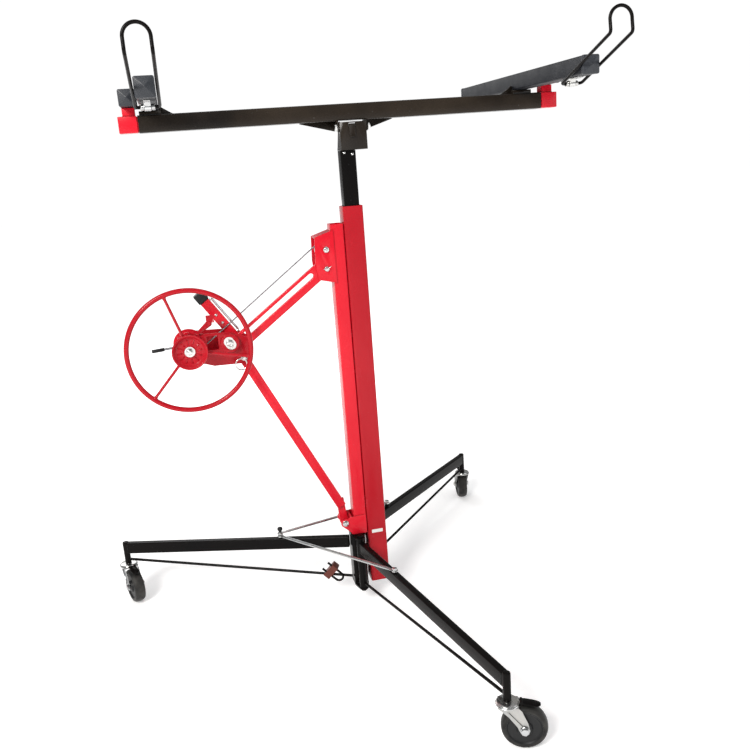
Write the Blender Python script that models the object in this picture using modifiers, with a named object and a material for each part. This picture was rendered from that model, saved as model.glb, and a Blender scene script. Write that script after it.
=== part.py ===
"""Drywall lift: a tripod panel hoist with a hand-wheel winch, telescoping mast and tilting cradle.

Metres, +Z up. The beam runs along X, the cross-arms along Y, and the hooks are at the -Y side.
Places are given from the mast's axis on the floor; ORIGIN_SHIFT moves the whole lift, so that the
world's origin is under the middle of its box.
"""
import math

import bmesh
import bpy
from mathutils import Matrix, Vector

# ---------------------------------------------------------------- driving dimensions
ORIGIN_SHIFT = (0.0843, 0.0718, 0.0)
GAP = 0.0003                     # between pieces that touch

MAST_SIZE = 0.054                # outer telescoping tube, square
MAST_WALL = 0.0025
MAST_BOTTOM = 0.056
MAST_TOP = 1.136
INNER_SIZE = 0.040               # inner telescoping tube, square
INNER_WALL = 0.002
INNER_BOTTOM = 0.110
INNER_TOP = 1.2758

POST_LEFT = -0.0640              # fixed frame post beside the mast
POST_RIGHT = -0.0285
POST_DEPTH = 0.050
POST_WALL = 0.002
POST_BOTTOM = 0.2121
POST_TOP = 1.093

HUB_LEFT = -0.076                # base hub that carries the legs
HUB_RIGHT = -0.036
HUB_HALF = 0.020
HUB_BOTTOM = 0.050
HUB_TOP = 0.2118
EAR_THICK = 0.0050
FRONT_PIVOT = (-0.056, -0.046)
REAR_PIVOT = (-0.040, 0.048)
PIVOT_PIN_R = 0.006
BARREL_R = 0.012

LEG_REACH = 0.695                # pivot to caster stem
LEG_W = 0.018
LEG_H = 0.034
LEG_WALL = 0.002
LEG_TOP_IN = 0.1995
LEG_TOP_OUT = 0.179
FRONT_HEADING = -76.5
REAR_HEADING = 44.4
WINCH_HEADING = 158.5
CASTER_POST_R = 0.009
CASTER_POST_TOP = 0.181
TIE_R = 0.004
TIE_Z_IN = 0.070
TIE_Z_OUT = 0.124

WHEEL_R = 0.0508                 # 4 inch caster
WHEEL_W = 0.032
CASTER_TRAIL = 0.035
FORK_TOP = 0.1075
RACE_TOP = 0.1120
STEM_R = 0.0055
AXLE_R = 0.005
FRONT_TRAIL_HEADING = -20.0
REAR_TRAIL_HEADING = 81.0
WINCH_TRAIL_HEADING = -69.0

STAY_R = 0.004                   # zinc stay rods between the legs
STAY_ALONG_WINCH_LEG = 0.208
STAY_ON_FRONT_LEG = 0.205
STAY_ON_REAR_LEG = 0.165
NEAR_STAY_Z = 0.1985
FAR_STAY_Z = 0.2075
LATCH_ALONG = 0.066              # storage latch on the winch leg's tie rod
LATCH_LEAN = 38.0

PLATE_OUT = 0.0285               # outer face of the frame's plates, from the middle plane
PLATE_IN = 0.0255
BRACE_SIZE = 0.025
ARM_OUT = 0.0250                 # slotted arm lies just behind the front plates
ARM_IN = 0.0130
ARM_ANGLE = 36.0

PULLEY_AXIS = (-0.0800, 1.0300)  # x, z of the top pulley
PULLEY_ROPE_R = 0.0225
PULLEY_FLANGE_R = 0.0265
DRUM_AXIS = (-0.4580, 0.8140)    # x, z of the hand-wheel shaft
DRUM_ROPE_R = 0.028
CABLE_R = 0.0018
SHAFT_R = 0.008
RIM_R = 0.154
RIM_TUBE_R = 0.0065
RIM_Y = -0.069
SPOKE_R = 0.00375
SPOKE_START = -12.0
IDLER_AXIS = (-0.3546, 0.8166)
BRACE_PIN = (-0.3220, 0.7720)
PIN_RING_R = 0.0150
BRACE_BOLT = (-0.0909, 0.2525)

TILT_AXIS_Y = -0.0200
TILT_AXIS_Z = 1.3315
HEAD_X = 0.0155                  # middle of the saddle
SADDLE_HALF = 0.0345
SADDLE_FRONT = -0.0305
SADDLE_TOP = 1.3450
LATCH_ROLL_Z = 1.3385            # hinge roll of the tilt latch
EAR_GAP = 0.0010                 # between a saddle wall and the ear beside it
GUSSET_TIPS = (-0.114, 0.1305)   # outer ends of the two gussets under the beam
BEAM_LEFT = -0.508
BEAM_RIGHT = 0.536
BEAM_SIZE = 0.041
BEAM_WALL = 0.002
BEAM_Z = 1.3695
CROSS_ARM_X = (-0.477, 0.482)
CROSS_ARM_HALF = 0.388
CROSS_ARM_SIZE = 0.040
CROSS_ARM_Z = 1.4190
OUTRIGGER_SIZE = 0.034
T_TUBE_HALF = 0.052
T_TUBE_Z = 1.4280

HOOK_R = 0.0036
HOOK_HALF = 0.0250
HOOK_PIVOT = (-0.300, 1.3870)    # y, z of the hooks' hinge
HOOK_BEND = (-0.522, 1.4660)
HOOK_TOP_Z = 1.5170

SMOOTH = math.radians(35)


# ---------------------------------------------------------------- scene and helpers
def clear_scene():
    for obj in list(bpy.data.objects):
        bpy.data.objects.remove(obj, do_unlink=True)


def collection(name):
    col = bpy.data.collections.new(name)
    bpy.context.scene.collection.children.link(col)
    return col


def material(name, color, roughness, metallic):
    mat = bpy.data.materials.new(name)
    mat.use_nodes = True
    bsdf = mat.node_tree.nodes["Principled BSDF"]
    bsdf.inputs["Base Color"].default_value = (*color, 1.0)
    bsdf.inputs["Roughness"].default_value = roughness
    bsdf.inputs["Metallic"].default_value = metallic
    return mat


def add_object(name, data, matrix=Matrix()):
    obj = bpy.data.objects.new(name, data)
    obj.matrix_world = matrix
    PARTS.objects.link(obj)
    return obj


def frame_matrix(origin, u, v):
    """A matrix whose X and Y run along u and v."""
    u = Vector(u).normalized()
    w = u.cross(Vector(v)).normalized()
    v = w.cross(u)
    matrix = Matrix((u, v, w)).transposed().to_4x4()
    matrix.translation = Vector(origin)
    return matrix


def axis_matrix(origin, axis):
    """A matrix whose Z runs along axis."""
    axis = Vector(axis).normalized()
    side = Vector((0, 0, 1)) if abs(axis.z) < 0.9 else Vector((1, 0, 0))
    return frame_matrix(origin, side.cross(axis), axis.cross(side.cross(axis)))


def mesh_from_curve(obj):
    """Turn a curve object into a mesh object with welded caps."""
    bpy.context.view_layer.update()
    graph = bpy.context.evaluated_depsgraph_get()
    mesh = bpy.data.meshes.new_from_object(obj.evaluated_get(graph))
    bm = bmesh.new()
    bm.from_mesh(mesh)
    bmesh.ops.remove_doubles(bm, verts=bm.verts, dist=0.00001)
    bmesh.ops.recalc_face_normals(bm, faces=bm.faces)
    bm.to_mesh(mesh)
    bm.free()
    name, matrix = obj.name, obj.matrix_world.copy()
    bpy.data.objects.remove(obj, do_unlink=True)
    return add_object(name, mesh, matrix)


def prism(name, loops, depth, origin, u, v):
    """Outline and holes in the u, v plane, raised by depth along u x v from origin."""
    curve = bpy.data.curves.new(name, "CURVE")
    curve.dimensions = "2D"
    curve.fill_mode = "BOTH"
    curve.extrude = depth / 2
    for loop in loops:
        spline = curve.splines.new("POLY")
        spline.points.add(len(loop) - 1)
        for point, (a, b) in zip(spline.points, loop):
            point.co = (a, b, 0, 1)
        spline.use_cyclic_u = True
    matrix = frame_matrix(origin, u, v)
    matrix.translation += matrix.col[2].to_3d() * depth / 2
    return mesh_from_curve(add_object(name, curve, matrix))


def plate_y(name, loops, y0, y1):
    """A plate whose outline is in x, z, between the planes y0 and y1."""
    return prism(name, loops, y1 - y0, (0, y1, 0), (1, 0, 0), (0, 0, 1))


def plate_z(name, loops, z0, z1):
    """A plate whose outline is in x, y, between the heights z0 and z1."""
    return prism(name, loops, z1 - z0, (0, 0, z0), (1, 0, 0), (0, 1, 0))


def arc(cx, cy, radius, start, end, steps):
    """Points on an arc, angles in degrees."""
    points = []
    for i in range(steps + 1):
        angle = math.radians(start + (end - start) * i / steps)
        points.append((cx + radius * math.cos(angle), cy + radius * math.sin(angle)))
    return points


def circle(cx, cy, radius, sides=16):
    return arc(cx, cy, radius, 0, 360, sides)[:-1]


def rectangle(x0, y0, x1, y1):
    return [(x0, y0), (x1, y0), (x1, y1), (x0, y1)]


def box(name, low, high):
    bm = bmesh.new()
    bmesh.ops.create_cube(bm, size=1)
    size = [h - a for a, h in zip(low, high)]
    middle = [(h + a) / 2 for a, h in zip(low, high)]
    bmesh.ops.scale(bm, vec=size, verts=bm.verts)
    bmesh.ops.translate(bm, vec=middle, verts=bm.verts)
    mesh = bpy.data.meshes.new(name)
    bm.to_mesh(mesh)
    bm.free()
    return add_object(name, mesh)


def rod(name, start, end, radius, sides=14, end_radius=None):
    """A cylinder or cone from start to end."""
    start, end = Vector(start), Vector(end)
    bm = bmesh.new()
    bmesh.ops.create_cone(bm, cap_ends=True, segments=sides, radius1=radius,
                          radius2=radius if end_radius is None else end_radius, depth=(end - start).length)
    mesh = bpy.data.meshes.new(name)
    bm.to_mesh(mesh)
    bm.free()
    return add_object(name, mesh, axis_matrix((start + end) / 2, end - start))


def bar(name, start, end, width, height):
    """A solid bar whose width is level and whose height is in the upright plane along it."""
    start, end = Vector(start), Vector(end)
    along = (end - start).normalized()
    level = along.cross(Vector((0, 0, 1))).normalized()
    bm = bmesh.new()
    bmesh.ops.create_cube(bm, size=1)
    bmesh.ops.scale(bm, vec=((end - start).length, width, height), verts=bm.verts)
    mesh = bpy.data.meshes.new(name)
    bm.to_mesh(mesh)
    bm.free()
    return add_object(name, mesh, frame_matrix((start + end) / 2, along, -level))


def turned(name, profile, origin, axis, sides):
    """A ring turned about an axis. The profile is a closed loop of (radius, height)."""
    area = sum(a[0] * b[1] - b[0] * a[1] for a, b in zip(profile, profile[1:] + profile[:1]))
    if area > 0:
        profile = profile[::-1]
    count = len(profile)
    mesh = bpy.data.meshes.new(name)
    edges = [(i, (i + 1) % count) for i in range(count)]
    mesh.from_pydata([(r, 0, h) for r, h in profile], edges, [])
    obj = add_object(name, mesh, axis_matrix(origin, axis))
    screw = obj.modifiers.new("turn", "SCREW")
    screw.steps = sides
    screw.render_steps = sides
    screw.use_merge_vertices = True
    screw.merge_threshold = 0.00001
    screw.use_smooth_shade = False
    return obj


def wire(name, points, radius, cyclic=False):
    """A round wire through the points, as a mesh."""
    curve = bpy.data.curves.new(name, "CURVE")
    curve.dimensions = "3D"
    curve.bevel_depth = radius
    curve.bevel_resolution = 2
    curve.use_fill_caps = True
    spline = curve.splines.new("POLY")
    spline.points.add(len(points) - 1)
    for point, place in zip(spline.points, points):
        point.co = (*place, 1)
    spline.use_cyclic_u = cyclic
    return mesh_from_curve(add_object(name, curve))


def boolean(obj, operation, others):
    for other in others:
        mod = obj.modifiers.new(operation.lower(), "BOOLEAN")
        mod.operation = operation
        mod.solver = "EXACT"
        mod.object = other
        PARTS.objects.unlink(other)
        CUTTERS.objects.link(other)
        other.hide_render = True
        other.display_type = "WIRE"
    return obj


def tools_of(obj):
    """The objects an object's Boolean modifiers use, and theirs."""
    tools = [mod.object for mod in obj.modifiers if mod.type == "BOOLEAN"]
    return tools + [deeper for tool in tools for deeper in tools_of(tool)]


def union(obj, *others):
    return boolean(obj, "UNION", others)


def cut(obj, *others):
    return boolean(obj, "DIFFERENCE", others)


def finish(obj, mat, joint=None):
    """Give a piece its material and hang it on the lift's origin or on its joint."""
    obj.data.materials.clear()
    obj.data.materials.append(mat)
    parent = joint or ORIGIN
    matrix = obj.matrix_world.copy()
    obj.parent = parent
    place = parent.location if joint else Vector((0, 0, 0))
    obj.matrix_parent_inverse = Matrix()
    obj.matrix_basis = Matrix.Translation(-Vector(place)) @ matrix
    for tool in tools_of(obj):
        tool.parent = ORIGIN
    if not obj.modifiers:
        obj.data.shade_smooth()
        obj.data.set_sharp_from_angle(angle=SMOOTH)
    return obj


def joint_at(name, place):
    """An empty on a joint's axis."""
    obj = bpy.data.objects.new(name, None)
    obj.empty_display_size = 0.02
    obj.location = place
    obj.parent = ORIGIN
    PARTS.objects.link(obj)
    return obj


def heading(angle):
    return Vector((math.cos(math.radians(angle)), math.sin(math.radians(angle)), 0))


# ---------------------------------------------------------------- base: hub, legs, stays
def make_hub():
    fx, fy = FRONT_PIVOT
    rx, ry = REAR_PIVOT
    ear = 0.0135
    outline = arc(fx, fy, ear, 180, 350, 6)
    outline += [(HUB_RIGHT, -0.022), (HUB_RIGHT, 0.022)]
    outline += arc(rx, ry, ear, -40, 180, 8)
    outline += [(HUB_LEFT, 0.022), (HUB_LEFT, -0.022)]
    hub = box("base_hub", (HUB_LEFT, -HUB_HALF, HUB_BOTTOM + 0.001), (HUB_RIGHT, HUB_HALF, HUB_TOP - 0.001))
    top = plate_z("hub_top", [outline], HUB_TOP - EAR_THICK, HUB_TOP)
    bottom = plate_z("hub_bottom", [outline], HUB_BOTTOM, HUB_BOTTOM + EAR_THICK)
    spigot = box("hub_spigot", (POST_LEFT + 0.003, -0.0220, HUB_TOP - 0.002),
                 (POST_RIGHT - 0.003, 0.0220, HUB_TOP + 0.118))
    union(hub, top, bottom, spigot)
    cut(hub, *[rod("hub_bore", (x, y, 0.03), (x, y, 0.24), PIVOT_PIN_R + GAP) for x, y in (FRONT_PIVOT, REAR_PIVOT)])
    return finish(hub, BLACK)


def leg_ends(start_xy, angle, clear_in):
    """Middle line of a leg: from clear_in outside its start to its caster post."""
    out = heading(angle)
    start = Vector((*start_xy, LEG_TOP_IN - LEG_H / 2))
    end = Vector((*start_xy, LEG_TOP_OUT - LEG_H / 2)) + out * LEG_REACH
    step = (end - start).normalized()
    return start + step * clear_in, end


def leg_tube(name, start_xy, angle, clear_in, tie_in):
    """The leg's box tube, the upright caster post at its outer end and the tie rod under it."""
    out = heading(angle)
    start, end = leg_ends(start_xy, angle, clear_in)
    tube = bar(name, start, end, LEG_W, LEG_H)
    post = rod(name + "_post", (end.x, end.y, RACE_TOP + GAP), (end.x, end.y, CASTER_POST_TOP), CASTER_POST_R)
    tie = rod(name + "_tie", Vector((*start_xy, TIE_Z_IN)) + out * tie_in,
              Vector((*start_xy, TIE_Z_OUT)) + out * (LEG_REACH - 0.006), TIE_R, 8)
    step = (end - start).normalized()
    hollow = bar(name + "_hollow", start + step * 0.020, end - step * 0.012, LEG_W - 2 * LEG_WALL, LEG_H - 2 * LEG_WALL)
    drain = (start + end) / 2
    cut(tube, hollow, rod(name + "_drain", drain, drain - Vector((0, 0, LEG_H)), 0.004, 10))
    union(tube, post, tie)
    cut(tube, rod(name + "_bore", (end.x, end.y, 0.10), (end.x, end.y, 0.158), STEM_R + GAP))
    return tube


def swinging_leg(name, pivot, angle, joint, boss_at=None):
    """A leg with a hinge barrel at its inner end, and a boss for its stay rod."""
    leg = leg_tube(name + "_leg", pivot, angle, 0.004, 0.009)
    low, high = HUB_BOTTOM + EAR_THICK + GAP, HUB_TOP - EAR_THICK - GAP
    union(leg, rod(name + "_barrel", (*pivot, low), (*pivot, high), BARREL_R, 16))
    if boss_at:
        place = Vector((*pivot, 0)) + heading(angle) * boss_at
        union(leg, rod(name + "_boss", (place.x, place.y, 0.185), (place.x, place.y, FAR_STAY_Z - STAY_R - 0.0005),
                       0.008, 12))
    cut(leg, rod(name + "_hinge_bore", (*pivot, 0.03), (*pivot, 0.24), PIVOT_PIN_R + GAP))
    finish(leg, BLACK, joint)


def make_legs():
    front = joint_at("front_leg_hinge", (*FRONT_PIVOT, 0.13))
    rear = joint_at("rear_leg_hinge", (*REAR_PIVOT, 0.13))
    swinging_leg("front", FRONT_PIVOT, FRONT_HEADING, front)
    swinging_leg("rear", REAR_PIVOT, REAR_HEADING, rear, STAY_ON_REAR_LEG)
    start = (HUB_LEFT, 0)
    slant = LEG_W / 2 * math.tan(math.radians(180 - WINCH_HEADING))
    finish(leg_tube("winch_leg", start, WINCH_HEADING, slant + 0.001, 0.0025), BLACK)


def stay_rod(name, start, end, joint):
    """A round rod with a flat eye at each end."""
    start, end = Vector(start), Vector(end)
    step = (end - start).normalized()
    stay = rod(name, start + step * 0.003, end - step * 0.003, STAY_R, 10)
    for place in (start, end):
        union(stay, rod(name + "_eye", place - Vector((0, 0, 0.0034)), place + Vector((0, 0, 0.0034)), 0.0085, 14))
    return finish(stay, ZINC, joint)


def winch_leg_point(distance, z):
    out = heading(WINCH_HEADING)
    return Vector((HUB_LEFT, 0, z)) + out * distance


def make_stays():
    near_end = Vector((*FRONT_PIVOT, NEAR_STAY_Z)) + heading(FRONT_HEADING) * STAY_ON_FRONT_LEG
    far_end = Vector((*REAR_PIVOT, FAR_STAY_Z)) + heading(REAR_HEADING) * STAY_ON_REAR_LEG
    near_joint = joint_at("near_stay_hinge", near_end)
    far_joint = joint_at("far_stay_hinge", far_end)
    stay_rod("near_stay_rod", near_end, winch_leg_point(STAY_ALONG_WINCH_LEG, NEAR_STAY_Z), near_joint)
    stay_rod("far_stay_rod", far_end, winch_leg_point(STAY_ALONG_WINCH_LEG, FAR_STAY_Z), far_joint)
    foot = winch_leg_point(STAY_ALONG_WINCH_LEG, FAR_STAY_Z + 0.0046)
    slider_joint = joint_at("stay_slider_slide", foot)
    knob = rod("stay_knob", foot, foot + Vector((0, 0, 0.006)), 0.0045, 12)
    union(knob, rod("knob_grip", foot + Vector((0, 0, 0.005)), foot + Vector((0, 0, 0.014)), 0.0072, 14, 0.0062))
    finish(knob, BLACK_PLASTIC, slider_joint)


def make_latch():
    """Storage latch on the winch leg's tie rod: a clamped block with a sliding U rod."""
    out = heading(WINCH_HEADING)
    run = LEG_REACH - CASTER_POST_R
    along = (out * run + Vector((0, 0, TIE_Z_OUT - TIE_Z_IN))).normalized()
    tie = Vector((HUB_LEFT, 0, TIE_Z_IN)) + along * LATCH_ALONG
    level = Vector((0, 0, 1)).cross(along).normalized()
    lift = along.cross(level)
    lean = math.radians(LATCH_LEAN)
    across = lift * math.cos(lean) - along * math.sin(lean)
    run_out = along * math.cos(lean) + lift * math.sin(lean)
    middle = tie + lift * 0.0125
    block = prism("latch_block", [rectangle(-0.022, -0.0135, 0.022, 0.0135)], 0.020,
                  middle - run_out * 0.010, across, -level)
    cut(block, rod("latch_tie_bore", tie - along * 0.06, tie + along * 0.06, TIE_R + 2 * GAP, 12))
    bend = 0.0130
    centre = middle + level * 0.0083 + across * 0.0035
    cut(block, *[rod("latch_bore", centre + across * s * bend - run_out * 0.05,
                     centre + across * s * bend + run_out * 0.05, 0.0038, 10) for s in (-1, 1)])
    finish(block, BROWN)
    points = [centre + across * bend + run_out * 0.024]
    for i in range(9):
        angle = math.radians(180 * i / 8)
        points.append(centre + across * bend * math.cos(angle) - run_out * (0.027 + bend * math.sin(angle)))
    points.append(centre - across * bend + run_out * 0.024)
    finish(wire("latch_u_rod", points, 0.0034), BLACK, joint_at("latch_slide", centre))


# ---------------------------------------------------------------- casters
def local_frame(stem, angle):
    """Matrix of a caster: X along its trail, Z up, origin on the floor under its stem."""
    matrix = frame_matrix(stem, heading(angle), Vector((0, 0, 1)).cross(heading(angle)))
    return matrix


def place(obj, matrix):
    obj.matrix_world = matrix @ obj.matrix_world
    return obj


def make_caster(name, stem, angle):
    """Fork with race, stem and axle bolt; wheel; brake pedal."""
    matrix = local_frame(Vector((*stem, 0)), angle)
    swivel = joint_at(name + "_swivel", (*stem, 0.11))
    inner = WHEEL_W / 2 + 0.0025
    outer = inner + 0.0030
    side = [(-0.020, FORK_TOP - 0.001), (0.024, FORK_TOP - 0.001), (0.034, 0.092), (0.0455, 0.056)]
    side += arc(CASTER_TRAIL, WHEEL_R, 0.0105, 20, -120, 5)
    fork = plate_y(name + "_caster_fork", [side], -outer, -inner)
    parts = [plate_y(name + "_cheek", [side], inner, outer),
             box(name + "_crown", (-0.022, -outer, FORK_TOP - 0.003), (0.024, outer, FORK_TOP)),
             rod(name + "_race", (0, 0, FORK_TOP - 0.001), (0, 0, RACE_TOP), 0.0255, 20, 0.021),
             rod(name + "_stem", (0, 0, RACE_TOP - 0.001), (0, 0, 0.155), STEM_R)]
    bore = rod(name + "_axle_bore", (CASTER_TRAIL, -0.05, WHEEL_R), (CASTER_TRAIL, 0.05, WHEEL_R), AXLE_R + GAP, 12)
    for obj in (fork, *parts, bore):
        place(obj, matrix)
    union(fork, *parts)
    cut(fork, bore)
    finish(fork, ZINC, swivel)

    low, high = Vector((CASTER_TRAIL, -outer - 0.006, WHEEL_R)), Vector((CASTER_TRAIL, outer + 0.006, WHEEL_R))
    axle = rod(name + "_caster_axle", low, high, AXLE_R, 12)
    heads = [rod(name + "_axle_head", low, low + Vector((0, 0.0055, 0)), 0.0085, 6),
             rod(name + "_axle_nut", high - Vector((0, 0.0055, 0)), high, 0.0085, 6)]
    for obj in (axle, *heads):
        place(obj, matrix)
    union(axle, *heads)
    finish(axle, ZINC, swivel)

    w = WHEEL_W / 2
    profile = [(AXLE_R + GAP, -w - 0.001), (0.018, -w - 0.001), (0.022, -w + 0.004), (0.036, -w + 0.004),
               (0.041, -w), (0.047, -w + 0.002), (WHEEL_R - 0.0008, -w + 0.008), (WHEEL_R, -0.003),
               (WHEEL_R, 0.003), (WHEEL_R - 0.0008, w - 0.008), (0.047, w - 0.002), (0.041, w),
               (0.036, w - 0.004), (0.022, w - 0.004), (0.018, w + 0.001), (AXLE_R + GAP, w + 0.001)]
    wheel = turned(name + "_caster_wheel", profile, (CASTER_TRAIL, 0, WHEEL_R), (0, 1, 0), 24)
    place(wheel, matrix)
    centre = matrix @ Vector((CASTER_TRAIL, 0, WHEEL_R))
    finish(wheel, RUBBER, joint_at(name + "_wheel_axis", centre))

    pedal = box(name + "_brake_pedal", (-0.001, -0.011, -0.001), (0.042, 0.011, 0.0012))
    pedal.matrix_world = Matrix.Rotation(math.radians(9), 4, "Y")
    union(pedal, place(rod(name + "_pedal_roll", (0, -0.011, 0), (0, 0.011, 0), 0.003, 10), Matrix()))
    hinge = Vector((0.0295, 0, 0.1095))
    for obj in (pedal, pedal.modifiers[0].object):
        place(obj, matrix @ Matrix.Translation(hinge))
    finish(pedal, BLACK, joint_at(name + "_pedal_hinge", matrix @ hinge))


def make_casters():
    for name, start, angle, trail in (("front", FRONT_PIVOT, FRONT_HEADING, FRONT_TRAIL_HEADING),
                                      ("rear", REAR_PIVOT, REAR_HEADING, REAR_TRAIL_HEADING),
                                      ("winch", (HUB_LEFT, 0), WINCH_HEADING, WINCH_TRAIL_HEADING)):
        stem = Vector((*start, 0)) + heading(angle) * LEG_REACH
        make_caster(name, stem.xy, trail)


# ---------------------------------------------------------------- frame: post, arm, brace
def make_post():
    half = POST_DEPTH / 2
    loops = [rectangle(POST_LEFT, -half, POST_RIGHT, half),
             rectangle(POST_LEFT + POST_WALL, -half + POST_WALL, POST_RIGHT - POST_WALL, half - POST_WALL)]
    post = plate_z("frame_post", loops, POST_BOTTOM, POST_TOP)
    cut(post, box("post_slot", (POST_LEFT - 0.003, -0.0070, 1.000), (POST_LEFT + 0.004, 0.0070, 1.060)))
    outline = [(-0.057, 0.0240), (-0.031, 0.0240), (-0.031, 0.0276), (0.0276, 0.0276), (0.0276, 0.010),
               (0.0306, 0.010), (0.0306, 0.0306), (-0.057, 0.0306)]
    union(post, *[plate_z("mast_guide", [outline], z, z + 0.035) for z in (0.300, 1.045)])
    finish(post, RED)


def make_lower_bracket():
    """Two plates on the post with an ear for the brace, joined by a web."""
    x, z = BRACE_BOLT
    outline = [(-0.030, 0.2145), (-0.030, 0.2700), (-0.078, 0.2680)] + arc(x, z, 0.0130, 60, 240, 7)
    outline += [(-0.080, 0.2250), (-0.070, 0.2145)]
    bracket = plate_y("lower_bracket", [outline], -PLATE_OUT, -PLATE_IN)
    union(bracket, plate_y("bracket_rear", [outline], PLATE_IN, PLATE_OUT),
          box("bracket_web", (-0.0745, -PLATE_IN - 0.001, 0.2160), (-0.0675, PLATE_IN + 0.001, 0.2640)))
    cut(bracket, rod("bracket_bore", (x, -0.05, z), (x, 0.05, z), 0.0043, 12))
    finish(bracket, RED)


def make_brace():
    """Square tube from the winch down to a flattened lug at the post's foot."""
    x, z = BRACE_BOLT
    px, pz = BRACE_PIN
    low, high = Vector((-0.0945, 0, 0.3000)), Vector((px - 0.0095, 0, pz + 0.0120))
    half = BRACE_SIZE / 2
    along = (high - low).normalized()
    loops = [rectangle(-half, -half, half, half), rectangle(-half + 0.002, -half + 0.002, half - 0.002, half - 0.002)]
    brace = prism("winch_brace", loops, (high - low).length, low, (0, 1, 0), Vector((0, 1, 0)).cross(-along))
    lug = [(x + 0.0115, z + 0.0015), (-0.0865, 0.3210), (-0.1055, 0.3170), (x - 0.0118, z + 0.0009)]
    lug += arc(x, z, 0.012, 190, 350, 7)
    union(brace, plate_y("brace_lug", [lug], -0.004, 0.004))
    cut(brace, rod("brace_bolt_bore", (x, -0.05, z), (x, 0.05, z), 0.0043, 12),
        rod("brace_pin_bore", (px, -0.05, pz), (px, 0.05, pz), 0.0054, 12))
    finish(brace, RED)


def arm_point(along, up):
    """x, z of a point along the slotted arm, from the idler's end."""
    angle = math.radians(ARM_ANGLE)
    x0, z0 = -0.3300, 0.7835
    return (x0 + along * math.cos(angle) - up * math.sin(angle), z0 + along * math.sin(angle) + up * math.cos(angle))


def make_arm():
    """Slotted bar from the winch up to the pulley housing."""
    outline = [arm_point(0.018, 0.000), arm_point(0.302, 0.000), arm_point(0.302, 0.0420), arm_point(0.018, 0.0420)]
    slot = [arm_point(a, b) for a, b in arc(0.036, 0.0265, 0.0072, 90, 270, 6) + arc(0.272, 0.0265, 0.0072, -90, 90, 6)]
    finish(plate_y("upper_arm", [outline, slot], -ARM_OUT, -ARM_IN), RED)


def make_pulley_housing():
    outline = [(-0.0578, 0.9410), (-0.0578, 1.0794), (-0.1085, 1.0640), (-0.1112, 0.9985), (-0.1059, 0.9532)]
    housing = plate_y("pulley_housing", [outline], -PLATE_OUT, -PLATE_IN)
    cover = [(-0.0648, 1.0742), (-0.0648, 1.0772), (-0.1080, 1.0640), (-0.1080, 1.0610)]
    union(housing, plate_y("housing_rear", [outline], PLATE_IN, PLATE_OUT),
          plate_y("housing_cover", [cover], -PLATE_IN - 0.001, PLATE_IN + 0.001))
    x, z = PULLEY_AXIS
    cut(housing, rod("housing_bore", (x, -0.05, z), (x, 0.05, z), 0.0053, 12),
        rod("housing_bore_low", (-0.0820, -0.05, 0.9800), (-0.0820, 0.05, 0.9800), 0.0043, 12))
    finish(housing, RED)


def through_bolt(name, x, z, radius, head, reach):
    """A bolt along Y with a hexagon head and nut."""
    bolt = rod(name, (x, -reach - 0.004, z), (x, reach + 0.004, z), radius, 12)
    union(bolt, rod(name + "_head", (x, -reach - 0.005, z), (x, -reach, z), head, 6),
          rod(name + "_nut", (x, reach, z), (x, reach + 0.005, z), head, 6))
    return bolt


def make_frame_bolts():
    """Pulley axle, housing bolt, brace bolt and the two leg pivot pins."""
    reach = PLATE_OUT + GAP
    finish(through_bolt("pulley_axle", *PULLEY_AXIS, 0.005, 0.0075, reach), ZINC)
    finish(through_bolt("housing_bolt", -0.0820, 0.9800, 0.004, 0.0062, reach), ZINC)
    finish(through_bolt("brace_bolt", *BRACE_BOLT, 0.004, 0.0075, reach), ZINC)
    for name, (x, y) in (("front_leg_pin", FRONT_PIVOT), ("rear_leg_pin", REAR_PIVOT)):
        pin = rod(name, (x, y, HUB_BOTTOM - 0.004), (x, y, HUB_TOP + 0.002), PIVOT_PIN_R)
        union(pin, rod(name + "_head", (x, y, HUB_TOP + GAP), (x, y, HUB_TOP + 0.005), 0.0095, 6),
              rod(name + "_nut", (x, y, HUB_BOTTOM - 0.006), (x, y, HUB_BOTTOM - GAP), 0.0095, 6))
        finish(pin, ZINC)


def tangent_angle():
    """Angle of the cable between the drum's underside and the pulley's top."""
    dx, dz = PULLEY_AXIS[0] - DRUM_AXIS[0], PULLEY_AXIS[1] - DRUM_AXIS[1]
    return math.degrees(math.atan2(dz, dx) + math.asin((PULLEY_ROPE_R + DRUM_ROPE_R) / math.hypot(dx, dz)))


def make_cable():
    """Cable from the drum over the pulley and down inside the post."""
    angle = tangent_angle()
    start = arc(*DRUM_AXIS, DRUM_ROPE_R, angle - 90, angle - 90, 1)[0]
    over = arc(*PULLEY_AXIS, PULLEY_ROPE_R, angle + 90, 0, 10)
    runs = [start] + over + [(over[-1][0], 0.36)]
    points = []
    for a, b in zip(runs, runs[1:]):
        parts = max(1, round(math.dist(a, b) / 0.06))
        points += [(a[0] + (b[0] - a[0]) * i / parts, 0, a[1] + (b[1] - a[1]) * i / parts) for i in range(parts)]
    points.append((runs[-1][0], 0, runs[-1][1]))
    finish(wire("lift_cable", points, CABLE_R), STEEL)


def make_pulley():
    x, z = PULLEY_AXIS
    groove = PULLEY_ROPE_R - CABLE_R - GAP
    profile = [(0.0053, -0.005), (PULLEY_FLANGE_R, -0.005), (PULLEY_FLANGE_R, -0.0038), (groove, -0.0022),
               (groove, 0.0022), (PULLEY_FLANGE_R, 0.0038), (PULLEY_FLANGE_R, 0.005), (0.0053, 0.005)]
    finish(turned("top_pulley", profile, (x, 0, z), (0, 1, 0), 24), ZINC, joint_at("pulley_axis", (x, 0, z)))


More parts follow.
